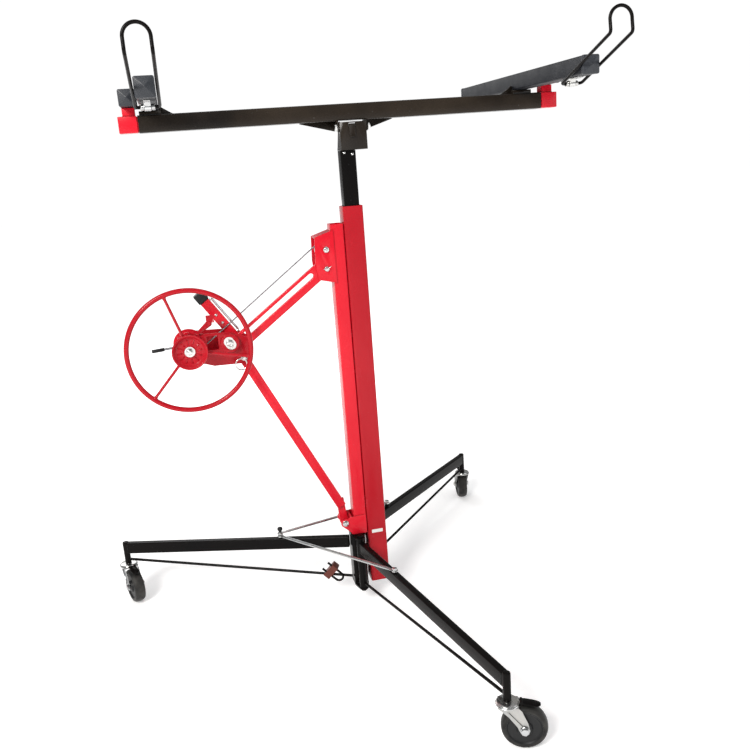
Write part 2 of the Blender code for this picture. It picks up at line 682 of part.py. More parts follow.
# ---------------------------------------------------------------- winch
def winch_plate(name, y0, y1):
    dx, dz = DRUM_AXIS
    ix, iz = IDLER_AXIS
    outline = arc(dx, dz, 0.034, 95, 250, 9)
    outline += [(-0.400, 0.7580), (-0.325, 0.7560), (-0.300, 0.7700), arm_point(0.046, 0.002)]
    outline += [arm_point(0.034, 0.041)] + arc(ix, iz, 0.027, 45, 100, 4)
    plate = plate_y(name, [outline], y0, y1)
    return plate


def make_winch_frame():
    """Two side plates with spacers, and the idler's boss on the front plate."""
    ix, iz = IDLER_AXIS
    px, pz = BRACE_PIN
    dx, dz = DRUM_AXIS
    frame = winch_plate("winch_frame", -PLATE_OUT, -PLATE_IN)
    boss = rod("idler_boss", (ix, -0.0450, iz), (ix, -PLATE_OUT + 0.001, iz), 0.024, 24)
    floor = box("winch_floor", (-0.392, -PLATE_IN - 0.001, 0.7590), (-0.352, PLATE_IN + 0.001, 0.7620))
    union(frame, winch_plate("winch_rear", PLATE_IN, PLATE_OUT), boss, floor)
    cut(frame, box("front_window", (dx + 0.0460, -0.0330, dz - 0.0130), (ix - 0.0290, -0.0220, dz + 0.0240)),
        rod("idler_bore", (ix, -0.08, iz), (ix, 0.05, iz), 0.0105),
        rod("shaft_bore", (dx, -0.08, dz), (dx, 0.05, dz), SHAFT_R + 0.0005, 16),
        rod("pin_bore", (px, -0.08, pz), (px, 0.05, pz), 0.0054, 12))
    finish(frame, RED)
    idler = rod("idler_shaft", (ix, -0.0500, iz), (ix, 0.0330, iz), 0.010, 16)
    union(idler, rod("idler_washer", (ix, -0.0520, iz), (ix, -0.0453, iz), 0.0155, 20),
          rod("idler_nut", (ix, PLATE_OUT + GAP, iz), (ix, 0.0350, iz), 0.0150, 6))
    finish(idler, ZINC)


def make_rotor():
    """What turns with the hand wheel: shaft, drum, ratchet wheel and dished hand wheel."""
    x, z = DRUM_AXIS
    axis = joint_at("winch_axis", (x, 0, z))
    shaft = rod("winch_shaft", (x, -0.0960, z), (x, 0.0330, z), SHAFT_R, 16)
    union(shaft, rod("shaft_nut", (x, -0.0930, z), (x, -0.0795, z), 0.0140, 6),
          rod("shaft_head", (x, PLATE_OUT + GAP, z), (x, 0.0350, z), 0.0130, 16))
    finish(shaft, ZINC, axis)
    bore = SHAFT_R + GAP
    core = DRUM_ROPE_R - CABLE_R - 0.0005
    drum = [(bore, -0.0248), (0.040, -0.0248), (0.040, -0.0220), (core, -0.0200), (core, 0.0200), (0.040, 0.0220),
            (0.040, 0.0248), (bore, 0.0248)]
    finish(turned("cable_drum", drum, (x, 0, z), (0, 1, 0), 24), ZINC, axis)
    teeth = []
    for i in range(16):
        start = 22.5 * i
        teeth += [arc(x, z, 0.0340, start, start, 1)[0], arc(x, z, 0.0400, start + 20.0, start + 20.0, 1)[0]]
    finish(plate_y("ratchet_wheel", [teeth, circle(x, z, bore)], -0.0345, -0.0295), STEEL, axis)
    hub = [(bore, -0.0750), (0.0160, -0.0750), (0.0180, -0.0660), (0.040, -0.0645), (0.040, -0.0610),
           (0.0180, -0.0590), (0.0180, -0.0360), (bore, -0.0360)]
    wheel = turned("hand_wheel", hub, (x, 0, z), (0, 1, 0), 24)
    rim = [(x + RIM_R * math.cos(math.radians(10 * i)), RIM_Y, z + RIM_R * math.sin(math.radians(10 * i)))
           for i in range(36)]
    spokes = []
    for angle in (SPOKE_START, SPOKE_START + 120, SPOKE_START + 240):
        c, s = math.cos(math.radians(angle)), math.sin(math.radians(angle))
        spokes.append(rod("spoke", (x + 0.014 * c, RIM_Y, z + 0.014 * s), (x + RIM_R * c, RIM_Y, z + RIM_R * s),
                          SPOKE_R, 10))
    dish = [(bore, -0.0792), (0.0330, -0.0792), (0.0415, -0.0900), (0.0445, -0.0900), (0.0445, -0.0870),
            (0.0350, -0.0740), (bore, -0.0740)]
    union(wheel, *spokes, wire("rim", rim, RIM_TUBE_R, cyclic=True),
          turned("wheel_dish", dish, (x, 0, z), (0, 1, 0), 28))
    finish(wheel, RED, axis)


def make_brake():
    """Pawl on the front plate and the release lever round the hub."""
    x, z = DRUM_AXIS
    pivot = (-0.4020, 0.8720)
    tip = (x + 0.0412 * math.cos(math.radians(50)), z + 0.0412 * math.sin(math.radians(50)))
    outline = arc(*pivot, 0.0080, -40, 130, 6) + [(tip[0] - 0.0020, tip[1] + 0.0085), tip]
    pawl = plate_y("ratchet_pawl", [outline], -0.0350, -0.0290)
    union(pawl, plate_y("pawl_tail", [rectangle(-0.4080, 0.8740, -0.3880, 0.8930)], -0.0345, -0.0300))
    finish(pawl, RED, joint_at("pawl_hinge", (pivot[0], -0.032, pivot[1])))
    lever = plate_y("brake_lever", [circle(x, z, 0.0250, 20), circle(x, z, 0.0188, 20)], -0.0560, -0.0490)
    start, end = Vector((x - 0.0220, -0.0525, z + 0.0120)), Vector((-0.5510, -0.0525, 0.8203))
    union(lever, rod("lever_rod", start, end, 0.0032, 10),
          rod("lever_grip", end + (start - end) * 0.45, end, 0.0046, 12))
    finish(lever, STEEL, joint_at("lever_hinge", (x, -0.0525, z)))


def make_handle():
    """Square tube with a plastic cap, the guide rod beside it, and the brace's pin with its ring."""
    base, top = Vector((-0.3382, 0.0140, 0.8240)), Vector((-0.4050, 0.0140, 0.9232))
    along = (top - base).normalized()
    side = Vector((0, 1, 0)).cross(along)
    half = 0.011
    loops = [rectangle(-half, -half - 0.0015, half, half + 0.0015),
             rectangle(-half + 0.002, -half + 0.0005, half - 0.002, half - 0.0005)]
    tube = prism("handle_tube", loops, (top - base).length, base, (0, 1, 0), along.cross(Vector((0, 1, 0))))
    ix, iz = IDLER_AXIS
    cut(tube, rod("idler_notch", (ix, -0.02, iz), (ix, 0.04, iz), 0.0108, 16))
    finish(tube, RED)
    cap = prism("handle_cap", [rectangle(-0.0138, -0.0150, 0.0105, 0.0150)], 0.027, top + along * GAP, (0, 1, 0),
                along.cross(Vector((0, 1, 0))))
    finish(cap, BLACK_PLASTIC)
    near, far = side * (half + 0.0015 + GAP), side * 0.0190
    low, high = base + along * 0.006, top - along * 0.006
    guide = wire("guide_rod", [high + near, high + far, low + far, low + near], 0.003)
    finish(guide, ZINC)
    x, z = BRACE_PIN
    pin = rod("ring_pin", (x, -0.0480, z), (x, 0.0350, z), 0.005, 12)
    ring = [(a, -0.0440, b) for a, b in circle(x - 0.0100, z - 0.0145, PIN_RING_R)]
    union(pin, rod("pin_collar", (x, -0.0340, z), (x, -PLATE_OUT - GAP, z), 0.0085, 14),
          wire("pin_ring", ring, 0.0019, cyclic=True))
    finish(pin, ZINC, joint_at("pin_slide", (x, 0, z)))


# ---------------------------------------------------------------- mast and cradle
def square_tube(name, size, wall, low, high):
    outer, inner = size / 2, size / 2 - wall
    return plate_z(name, [rectangle(-outer, -outer, outer, outer), rectangle(-inner, -inner, inner, inner)], low, high)


def make_mast():
    finish(square_tube("outer_mast", MAST_SIZE, MAST_WALL, MAST_BOTTOM, MAST_TOP), DARK_RED,
           joint_at("mast_slide", (0, 0, MAST_BOTTOM)))
    finish(square_tube("inner_mast", INNER_SIZE, INNER_WALL, INNER_BOTTOM, INNER_TOP), BLACK,
           joint_at("inner_slide", (0, 0, INNER_BOTTOM)))


def make_saddle():
    """Channel on the inner tube, with a front plate, that carries the cradle's pivot bolt."""
    inner = joint_at("saddle_seat", (0, 0, INNER_TOP))
    low = INNER_TOP + GAP
    y, z = TILT_AXIS_Y, TILT_AXIS_Z
    saddle = box("saddle_bracket", (HEAD_X - SADDLE_HALF, -0.0290, low), (HEAD_X + SADDLE_HALF, 0.0230, low + 0.005))
    window = rectangle(HEAD_X - 0.0110, 1.3330, HEAD_X + 0.0060, 1.3420)
    face = rectangle(HEAD_X - SADDLE_HALF, low, HEAD_X + SADDLE_HALF, SADDLE_TOP)
    walls = [plate_y("saddle_face", [face, window], SADDLE_FRONT, SADDLE_FRONT + 0.0030)]
    for sign in (-1, 1):
        x0 = HEAD_X + sign * (SADDLE_HALF - 0.0015) - 0.0015
        outline = [(SADDLE_FRONT + 0.001, low + 0.001), (0.0230, low + 0.001)]
        outline += arc(TILT_AXIS_Y, TILT_AXIS_Z, 0.0150, 0, 100, 6) + [(SADDLE_FRONT + 0.001, SADDLE_TOP - 0.001)]
        walls.append(prism("saddle_wall", [outline], 0.0030, (x0, 0, 0), (0, 1, 0), (0, 0, 1)))
    union(saddle, *walls)
    cut(saddle, rod("tilt_bore", (-0.1, y, z), (0.15, y, z), 0.0053, 12))
    finish(saddle, BLACK, inner)
    reach = SADDLE_HALF + EAR_GAP + 2 * GAP + 0.0035
    bolt = rod("tilt_bolt", (HEAD_X - reach, y, z), (HEAD_X + reach + 0.0080, y, z), 0.005, 12)
    union(bolt, rod("tilt_head", (HEAD_X - reach - 0.0055, y, z), (HEAD_X - reach, y, z), 0.0080, 6),
          rod("tilt_nut", (HEAD_X + reach, y, z), (HEAD_X + reach + 0.0065, y, z), 0.0080, 6))
    finish(bolt, ZINC, inner)

    left, right, front = HEAD_X - 0.0110, HEAD_X + 0.0050, SADDLE_FRONT - 0.0005
    latch = box("tilt_latch", (left, front - 0.0020, 1.3080), (right, front, LATCH_ROLL_Z))
    roll = [(x, front - 0.0022, LATCH_ROLL_Z) for x in (left, right)]
    union(latch, rod("latch_roll", *roll, 0.0020, 10),
          box("latch_lip", (left, front - 0.0060, 1.3080), (right, front - 0.0010, 1.3100)))
    finish(latch, STEEL, joint_at("tilt_latch_hinge", (HEAD_X, front - 0.0022, LATCH_ROLL_Z)))


def make_beam():
    """Beam tube with the two ears that turn on the pivot bolt, each braced by a gusset."""
    tilt = joint_at("tilt_axis", (HEAD_X, TILT_AXIS_Y, TILT_AXIS_Z))
    half, inner = BEAM_SIZE / 2, BEAM_SIZE / 2 - BEAM_WALL
    loops = [rectangle(-half, -half, half, half), rectangle(-inner, -inner, inner, inner)]
    beam = prism("beam", loops, BEAM_RIGHT - BEAM_LEFT, (BEAM_LEFT, 0, BEAM_Z), (0, 1, 0), (0, 0, 1))
    under = BEAM_Z - half
    pieces = []
    for sign, tip in ((-1, GUSSET_TIPS[0]), (1, GUSSET_TIPS[1])):
        near = HEAD_X + sign * (SADDLE_HALF + EAR_GAP)
        x0 = min(near, near + sign * 0.0030)
        outline = [(0.0190, under + 0.001), (-0.0190, under + 0.001)]
        outline += arc(TILT_AXIS_Y, TILT_AXIS_Z, 0.0105, 190, 350, 7)
        pieces.append(prism("beam_ear", [outline], 0.0030, (x0, 0, 0), (0, 1, 0), (0, 0, 1)))
        outline = [(near + sign * 0.0015, under + 0.001), (near + sign * 0.0015, under - 0.0240), (tip, under + 0.001)]
        pieces.append(plate_y("gusset", [outline], 0.0140, 0.0170))
    for x, sign in zip(CROSS_ARM_X, (1, -1)):
        top, under_arm = BEAM_Z + half - 0.001, CROSS_ARM_Z - CROSS_ARM_SIZE / 2
        pieces.append(box("seat", (x - 0.0260, -0.0200, top), (x + 0.0260, 0.0200, under_arm - GAP)))
        outline = [(x + sign * 0.0205, top), (x + sign * 0.0205, top + 0.0210), (x + sign * 0.0250, top + 0.0210),
                   (x + sign * 0.0560, top)]
        pieces.append(plate_y("arm_gusset", [outline], -0.0020, 0.0020))
    union(beam, *pieces)
    cut(beam, rod("ear_bore", (-0.08, TILT_AXIS_Y, TILT_AXIS_Z), (0.12, TILT_AXIS_Y, TILT_AXIS_Z), 0.0053, 12))
    finish(beam, BLACK, tilt)


def end_caps(name, x, half_length, z, size):
    """Square plastic caps with low pyramids, for both ends of a tube along Y."""
    pieces = []
    for sign in (-1, 1):
        y0, y1 = sorted((sign * (half_length - 0.001), sign * (half_length + 0.006)))
        pieces.append(box(name + "_cap", (x - size / 2, y0, z - size / 2), (x + size / 2, y1, z + size / 2)))
        face = sign * (half_length + 0.0055)
        point = rod(name + "_point", (x, face, z), (x, face + sign * 0.009, z), (size - 0.004) / math.sqrt(2), 4, 0.001)
        point.matrix_world = point.matrix_world @ Matrix.Rotation(math.radians(45), 4, "Z")
        pieces.append(point)
    return pieces


def hook_hinge(x):
    """Hinge bracket under a cross-arm's near end."""
    y, z = HOOK_PIVOT
    under = CROSS_ARM_Z - CROSS_ARM_SIZE / 2 + 0.001
    outline = [(y + 0.030, under), (y - 0.045, under), (y - 0.045, under - 0.004), (y - 0.012, under - 0.004)]
    outline += arc(y, z, 0.0075, 160, 380, 8) + [(y + 0.012, under - 0.0045), (y + 0.030, under - 0.0045)]
    return prism("hook_hinge", [outline, circle(y, z, HOOK_R + GAP, 12)], 0.014, (x - 0.007, 0, 0), (0, 1, 0), (0, 0, 1))


def make_cross_arms():
    half, inner = CROSS_ARM_SIZE / 2, CROSS_ARM_SIZE / 2 - 0.002
    loops = [rectangle(-half, -half, half, half), rectangle(-inner, -inner, inner, inner)]
    for name, x in zip(("left_cross_arm", "right_cross_arm"), CROSS_ARM_X):
        tube = prism(name, loops, 2 * CROSS_ARM_HALF, (x, CROSS_ARM_HALF, CROSS_ARM_Z), (1, 0, 0), (0, 0, 1))
        vent = rod(name + "_vent", (x, 0.1, CROSS_ARM_Z - 0.03), (x, 0.1, CROSS_ARM_Z), 0.004, 12)
        union(tube, *end_caps(name, x, CROSS_ARM_HALF, CROSS_ARM_Z, 0.0415), hook_hinge(x))
        cut(tube, vent)
        finish(tube, GREY, bpy.data.objects["tilt_axis"])


def make_outriggers():
    """Red tubes that slide in the beam's ends, with a neck and a short cross tube on top."""
    half = OUTRIGGER_SIZE / 2
    for name, end, sign in (("left", BEAM_LEFT, -1), ("right", BEAM_RIGHT, 1)):
        joint = joint_at(name + "_outrigger_slide", (end, 0, BEAM_Z))
        joint_out = end + sign * 0.046
        x0, x1 = sorted((end - sign * 0.330, joint_out))
        tube = box(name + "_outrigger", (x0, -half, BEAM_Z - half), (x1, half, BEAM_Z + half))
        b0, b1 = sorted((end + sign * 0.002, joint_out))
        block = box(name + "_block", (b0, -0.0195, BEAM_Z - 0.0195), (b1, 0.0195, BEAM_Z + 0.0195))
        n0, n1 = sorted((end + sign * 0.004, end + sign * 0.034))
        neck = box(name + "_neck", (n0, -0.015, BEAM_Z + 0.010), (n1, 0.015, T_TUBE_Z - 0.0193 - GAP))
        c0, c1 = sorted((end - sign * 0.340, end - sign * 0.010))
        bore = half - 0.002
        union(tube, block, neck)
        cut(tube, box(name + "_bore", (c0, -bore, BEAM_Z - bore), (c1, bore, BEAM_Z + bore)))
        finish(tube, RED, joint)
        x = (n0 + n1) / 2 - 0.002 * sign
        cross = box(name + "_t_tube", (x - 0.019, -T_TUBE_HALF, T_TUBE_Z - 0.019), (x + 0.019, T_TUBE_HALF, T_TUBE_Z + 0.019))
        union(cross, *end_caps(name + "_t", x, T_TUBE_HALF, T_TUBE_Z, 0.040))
        finish(cross, GREY, joint)


def make_hooks():
    """Wire panel hooks hinged under the cross-arms' near ends."""
    py, pz = HOOK_PIVOT
    by, bz = HOOK_BEND
    for name, x in zip(("left_hook", "right_hook"), CROSS_ARM_X):
        points = [(x - 0.0080, py, pz), (x - HOOK_HALF, py, pz), (x - HOOK_HALF, by, bz)]
        for i in range(13):
            angle = math.radians(180 - 15 * i)
            points.append((x + HOOK_HALF * math.cos(angle), by + 0.004,
                           HOOK_TOP_Z - HOOK_HALF + HOOK_HALF * math.sin(angle)))
        points += [(x + HOOK_HALF, by, bz), (x + HOOK_HALF, py, pz), (x + 0.0080, py, pz)]
        hook = wire(name, points, HOOK_R)
        union(hook, rod(name + "_pin", (x - 0.0120, py, pz), (x + 0.0120, py, pz), HOOK_R - 0.0002, 12))
        finish(hook, BLACK, joint_at(name + "_hinge", (x, py, pz)))


# ---------------------------------------------------------------- build
clear_scene()
PARTS = collection("drywall_lift")
CUTTERS = collection("cutters")
ORIGIN = bpy.data.objects.new("lift_origin", None)
ORIGIN.location = ORIGIN_SHIFT
PARTS.objects.link(ORIGIN)

RED = material("red_paint", (0.72, 0.03, 0.05), 0.30, 0.0)
DARK_RED = material("dark_red_paint", (0.58, 0.02, 0.03), 0.32, 0.0)
BROWN = material("brown_paint", (0.20, 0.04, 0.03), 0.50, 0.0)
BLACK = material("black_paint", (0.012, 0.012, 0.014), 0.28, 0.0)
GREY = material("grey_paint", (0.045, 0.050, 0.058), 0.55, 0.0)
BLACK_PLASTIC = material("black_plastic", (0.030, 0.034, 0.042), 0.45, 0.0)
ZINC = material("zinc_plate", (0.62, 0.65, 0.67), 0.30, 1.0)
STEEL = material("bare_steel", (0.45, 0.46, 0.47), 0.35, 1.0)
RUBBER = material("black_rubber", (0.015, 0.016, 0.018), 0.60, 0.0)

make_hub()
make_legs()
make_stays()
make_latch()
make_casters()
make_post()
make_lower_bracket()
make_brace()
make_arm()
make_pulley_housing()
make_frame_bolts()
make_cable()
make_pulley()
make_winch_frame()
make_rotor()
make_brake()
make_handle()
make_mast()
make_saddle()
make_beam()
make_cross_arms()
make_outriggers()
make_hooks()
bpy.context.view_layer.update()
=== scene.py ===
"""Looks of the drywall lift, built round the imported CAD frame. Metres, +Z up."""
import math

import bmesh
import bpy
from mathutils import Matrix, Vector


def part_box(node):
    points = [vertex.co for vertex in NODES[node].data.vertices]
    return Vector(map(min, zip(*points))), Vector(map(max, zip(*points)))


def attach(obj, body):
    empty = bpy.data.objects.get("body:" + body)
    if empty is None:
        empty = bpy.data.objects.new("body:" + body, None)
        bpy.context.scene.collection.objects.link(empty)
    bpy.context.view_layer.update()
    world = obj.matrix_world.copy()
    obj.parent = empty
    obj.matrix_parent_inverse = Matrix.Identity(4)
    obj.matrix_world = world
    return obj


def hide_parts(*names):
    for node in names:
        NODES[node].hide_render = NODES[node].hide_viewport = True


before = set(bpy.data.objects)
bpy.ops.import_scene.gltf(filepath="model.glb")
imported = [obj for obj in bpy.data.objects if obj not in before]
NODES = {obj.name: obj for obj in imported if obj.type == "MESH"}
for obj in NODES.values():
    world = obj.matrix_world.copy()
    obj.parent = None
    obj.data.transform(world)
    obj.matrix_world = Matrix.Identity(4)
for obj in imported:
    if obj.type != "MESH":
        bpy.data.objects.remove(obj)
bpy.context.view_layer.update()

MAST_LOW, MAST_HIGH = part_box("outer_mast")
SHIFT = (MAST_LOW + MAST_HIGH) / 2      # the mast's axis, on the floor
SHIFT.z = 0

UP = Vector((0, 0, 1))
ALONG_Y = (0, 1, 0)
SMOOTH_BELOW = math.radians(40)       # faces that meet at less than this are shaded smooth

# ---------------------------------------------------------------- camera, floor and light
LENS = 38.98
CAMERA_PLACE = Vector((-0.4538, -2.1295, 1.2567))     # from the mast's axis
CAMERA_YAW, CAMERA_PITCH, CAMERA_ROLL = 0.2245, 0.2628, -0.0724
FLOOR_RADIUS = 24
WORLD_LIGHT, WORLD_BACKDROP = 0.3, 1.02      # what the object is lit by, and what shows behind it
FLOOR_GLOW = (0.28, 0.9)              # the floor's own light under the object and far from it
FLOOR_FADE = (0.8, 2.4)               # distances from the object between which the glow changes


def map_range(tree, value, from_range, to_range):
    """A node that maps one range of a value to another."""
    node = tree.nodes.new("ShaderNodeMapRange")
    for label, number in zip(("From Min", "From Max", "To Min", "To Max"), (*from_range, *to_range)):
        node.inputs[label].default_value = number
    tree.links.new(value, node.inputs["Value"])
    return node.outputs["Result"]


def new_object(name, data):
    obj = bpy.data.objects.new(name, data)
    bpy.context.scene.collection.objects.link(obj)
    return obj


def make_camera():
    data = bpy.data.cameras.new("view_camera")
    data.lens = LENS
    data.sensor_width = 36.0
    data.clip_end = 60.0
    camera = new_object("view_camera", data)
    level = Vector((math.cos(CAMERA_YAW), -math.sin(CAMERA_YAW), 0))
    forward = Vector((math.sin(CAMERA_YAW) * math.cos(CAMERA_PITCH),
                      math.cos(CAMERA_YAW) * math.cos(CAMERA_PITCH), -math.sin(CAMERA_PITCH)))
    up = level.cross(forward)
    side = level * math.cos(CAMERA_ROLL) + up * math.sin(CAMERA_ROLL)
    top = up * math.cos(CAMERA_ROLL) - level * math.sin(CAMERA_ROLL)
    matrix = Matrix((side, top, -forward)).transposed().to_4x4()
    matrix.translation = CAMERA_PLACE + SHIFT
    camera.matrix_world = matrix
    bpy.context.scene.camera = camera


def area_light(name, place, target, size, power, color):
    data = bpy.data.lights.new(name, "AREA")
    data.shape = "RECTANGLE"
    data.size, data.size_y = size
    data.energy = power
    data.color = color
    light = new_object(name, data)
    light.location = place
    light.rotation_euler = (Vector(target) - Vector(place)).to_track_quat("-Z", "Y").to_euler()


def make_studio():
    world = bpy.data.worlds.new("studio")
    bpy.context.scene.world = world
    world.use_nodes = True
    background = world.node_tree.nodes["Background"]
    background.inputs["Color"].default_value = (1.0, 1.0, 1.0, 1.0)
    rays = world.node_tree.nodes.new("ShaderNodeLightPath")
    level = map_range(world.node_tree, rays.outputs["Is Camera Ray"], (0, 1), (WORLD_LIGHT, WORLD_BACKDROP))
    world.node_tree.links.new(level, background.inputs["Strength"])
    bpy.context.scene.view_settings.view_transform = "Standard"
    bm = bmesh.new()
    bmesh.ops.create_circle(bm, cap_ends=True, segments=64, radius=FLOOR_RADIUS)
    mesh = bpy.data.meshes.new("studio_floor")
    bm.to_mesh(mesh)
    bm.free()
    floor = new_object("studio_floor", mesh)
    floor.location = (0, 0, -0.0004)
    mat = bpy.data.materials.new("floor_paper")
    mat.use_nodes = True
    bsdf = mat.node_tree.nodes["Principled BSDF"]
    bsdf.inputs["Base Color"].default_value = (0.95, 0.95, 0.95, 1)
    bsdf.inputs["Roughness"].default_value = 0.9
    bsdf.inputs["Specular IOR Level"].default_value = 0.1
    bsdf.inputs["Emission Color"].default_value = (1, 1, 1, 1)
    tree = mat.node_tree
    place = tree.nodes.new("ShaderNodeNewGeometry")
    reach = tree.nodes.new("ShaderNodeVectorMath")
    reach.operation = "LENGTH"
    tree.links.new(place.outputs["Position"], reach.inputs[0])
    glow = map_range(tree, reach.outputs["Value"], FLOOR_FADE, FLOOR_GLOW)
    tree.links.new(glow, bsdf.inputs["Emission Strength"])
    mesh.materials.append(mat)
    middle = (0, 0, 0.8)
    area_light("key", (-2.6, -3.2, 3.4), middle, (1.6, 1.6), 240, (1.0, 0.98, 0.95))
    area_light("fill", (3.4, -2.4, 2.2), middle, (2.4, 2.4), 34, (0.95, 0.97, 1.0))
    area_light("overhead", (0, 0.4, 4.2), middle, (3.0, 3.0), 36, (1, 1, 1))
    area_light("rim", (-1.2, 3.6, 2.4), middle, (2.4, 1.6), 30, (1, 1, 1))


# ---------------------------------------------------------------- materials
MATERIALS = {}
SLOTS = {}                # the slot named for each material


def finish_material(name, slot, color, roughness, second=None, metallic=0.0, vary=0.06, rough_vary=0.08,
                    bump=0.04,
                    scale=60.0, coat=0.0, stretch=(1, 1, 1), dirt=0.0, specular=0.5, chips=0.0):
    """A finish with colour drift (on the beam's black a painted reflection: a brown sheen), uneven gloss,
    fine relief and grime low down on the object.
    """
    mat = bpy.data.materials.new(name)
    mat.use_nodes = True
    tree = mat.node_tree
    nodes, links = tree.nodes, tree.links
    bsdf = nodes["Principled BSDF"]
    bsdf.inputs["Metallic"].default_value = metallic
    bsdf.inputs["Coat Weight"].default_value = coat
    bsdf.inputs["Coat Roughness"].default_value = 0.08
    bsdf.inputs["Specular IOR Level"].default_value = specular
    coords = nodes.new("ShaderNodeTexCoord")
    mapping = nodes.new("ShaderNodeMapping")
    mapping.inputs["Scale"].default_value = stretch
    links.new(coords.outputs["Object"], mapping.inputs["Vector"])

    def noise(noise_scale, detail):
        node = nodes.new("ShaderNodeTexNoise")
        node.inputs["Scale"].default_value = noise_scale
        node.inputs["Detail"].default_value = detail
        links.new(mapping.outputs["Vector"], node.inputs["Vector"])
        return node.outputs["Fac"]

    def spread(value, low, high):
        return map_range(tree, value, (0.3, 0.7), (low, high))

    def blend(share, first, other):
        node = nodes.new("ShaderNodeMix")
        node.data_type = "RGBA"
        node.inputs[7].default_value = (*other, 1)
        links.new(share, node.inputs[0])
        if isinstance(first, tuple):
            node.inputs[6].default_value = (*first, 1)
        else:
            links.new(first, node.inputs[6])
        return node.outputs[2]

    other = second or tuple(min(1.0, c * (1 + vary * 3) + vary * 0.1) for c in color)
    shade = blend(spread(noise(scale * 0.12, 4), 0.0, 1.0), color, other)
    if chips:
        flecks = map_range(tree, noise(scale * 5, 5), (0.7, 0.74), (0.0, chips))
        shade = blend(flecks, shade, [min(1.0, c * 0.5 + 0.1) for c in color])
    if dirt:
        height = nodes.new("ShaderNodeSeparateXYZ")
        links.new(coords.outputs["Object"], height.inputs[0])
        patch = nodes.new("ShaderNodeMath")
        patch.operation = "MULTIPLY"
        links.new(map_range(tree, height.outputs["Z"], (0.3, 0.0), (0.0, dirt)), patch.inputs[0])
        links.new(spread(noise(scale * 0.5, 8), 0.0, 1.0), patch.inputs[1])
        shade = blend(patch.outputs[0], shade, (0.2, 0.19, 0.17))
    links.new(shade, bsdf.inputs["Base Color"])
    links.new(spread(noise(scale * 0.4, 6), roughness - rough_vary / 2, roughness + rough_vary / 2),
              bsdf.inputs["Roughness"])
    relief = nodes.new("ShaderNodeBump")
    relief.inputs["Strength"].default_value = bump
    relief.inputs["Distance"].default_value = 0.001
    links.new(noise(scale * 12, 3), relief.inputs["Height"])
    links.new(relief.outputs["Normal"], bsdf.inputs["Normal"])
    MATERIALS[name], SLOTS[name] = mat, slot
    return mat


def rope_material():
    """Steel cable: strands that wind round the cord, from waves across the length."""
    mat = finish_material("cable_steel", "bare_steel", (0.3, 0.3, 0.31), 0.38, metallic=0.9, bump=0.2,
                          scale=400)
    nodes, links = mat.node_tree.nodes, mat.node_tree.links
    wave = nodes.new("ShaderNodeTexWave")
    wave.bands_direction = "DIAGONAL"
    wave.inputs["Scale"].default_value = 160
    coords = nodes["Texture Coordinate"]
    links.new(coords.outputs["Object"], wave.inputs["Vector"])
    relief = nodes["Bump"]
    relief.inputs["Strength"].default_value = 0.9
    links.new(wave.outputs["Fac"], relief.inputs["Height"])


def make_materials():
    paint = {"rough_vary": 0.12, "vary": 0.05, "bump": 0.05, "scale": 40, "coat": 0.06, "chips": 0.5}
    finish_material("red_gloss", "red_paint", (0.52, 0.006, 0.017), 0.24, specular=0.16, **paint)
    # A darker copy of red_gloss: painted shade, for the mast's shaded face and the winch parts that lie in
    # shade.
    finish_material("red_gloss_painted_shade", "dark_red_paint", (0.33, 0.004, 0.0105), 0.24, specular=0.14, **paint)
    finish_material("black_gloss", "black_paint", (0.003, 0.0028, 0.003), 0.24, (0.005, 0.004, 0.0036),
                    rough_vary=0.14, bump=0.06, scale=40, specular=0.07, chips=0.4)
    # Black gloss whose noise patches drift to warm brown: a painted reflection, a brownish sheen put into the
    # base colour.
    finish_material("black_gloss_painted_sheen", "black_paint", (0.0045, 0.004, 0.004), 0.22, (0.03, 0.022, 0.0155),
                    rough_vary=0.16, bump=0.06, scale=34, specular=0.16, chips=0.5)
    finish_material("dark_grey_powder", "grey_paint", (0.01, 0.0112, 0.0145), 0.46, (0.013, 0.0142, 0.0175),
                    rough_vary=0.1, bump=0.25, scale=70, specular=0.12, chips=0.4)
    finish_material("brown_red_paint", "brown_paint", (0.085, 0.018, 0.012), 0.42, (0.14, 0.036, 0.024),
                    bump=0.15, specular=0.25)
    finish_material("bright_zinc", "zinc_plate", (0.52, 0.535, 0.55), 0.25, (0.62, 0.61, 0.58), 1.0,
                    rough_vary=0.16, bump=0.06, scale=90)
    finish_material("rod_zinc", "zinc_plate", (0.42, 0.43, 0.44), 0.28, (0.56, 0.555, 0.54), 1.0,
                    rough_vary=0.16, bump=0.06, scale=90)
    finish_material("fork_zinc", "zinc_plate", (0.33, 0.345, 0.36), 0.34, (0.5, 0.49, 0.465), 1.0,
                    rough_vary=0.2, bump=0.1, scale=120)
    finish_material("turned_steel", "bare_steel", (0.26, 0.26, 0.27), 0.32, (0.18, 0.18, 0.19), 1.0,
                    rough_vary=0.14, bump=0.1, scale=160, stretch=(1, 6, 1))
    finish_material("tyre_rubber", "black_rubber", (0.005, 0.005, 0.0055), 0.5, (0.01, 0.0098, 0.0095),
                    rough_vary=0.16, bump=0.3, scale=90, specular=0.22, dirt=0.2)
    finish_material("moulded_plastic", "black_plastic", (0.02, 0.0225, 0.0275), 0.38, (0.028, 0.031, 0.037),
                    rough_vary=0.1, bump=0.2, scale=110, specular=0.34)
    finish_material("dark_plastic", "black_plastic", (0.005, 0.0054, 0.006), 0.38, (0.009, 0.0095, 0.0105),
                    rough_vary=0.1, bump=0.2, scale=110, specular=0.25)
    finish_material("hub_plastic", "black_rubber", (0.009, 0.0094, 0.01), 0.44, (0.016, 0.016, 0.0168),
                    rough_vary=0.1, bump=0.12, scale=90, specular=0.28)
    finish_material("weld_red", "red_paint", (0.36, 0.005, 0.012), 0.34, bump=0.6, scale=30, specular=0.25)
    finish_material("weld_black", "black_paint", (0.0036, 0.0034, 0.0036), 0.34, bump=0.6, scale=30,
                    specular=0.16)
    finish_material("blank_label", "grey_paint", (0.62, 0.62, 0.6), 0.4, bump=0.02)
    rope_material()


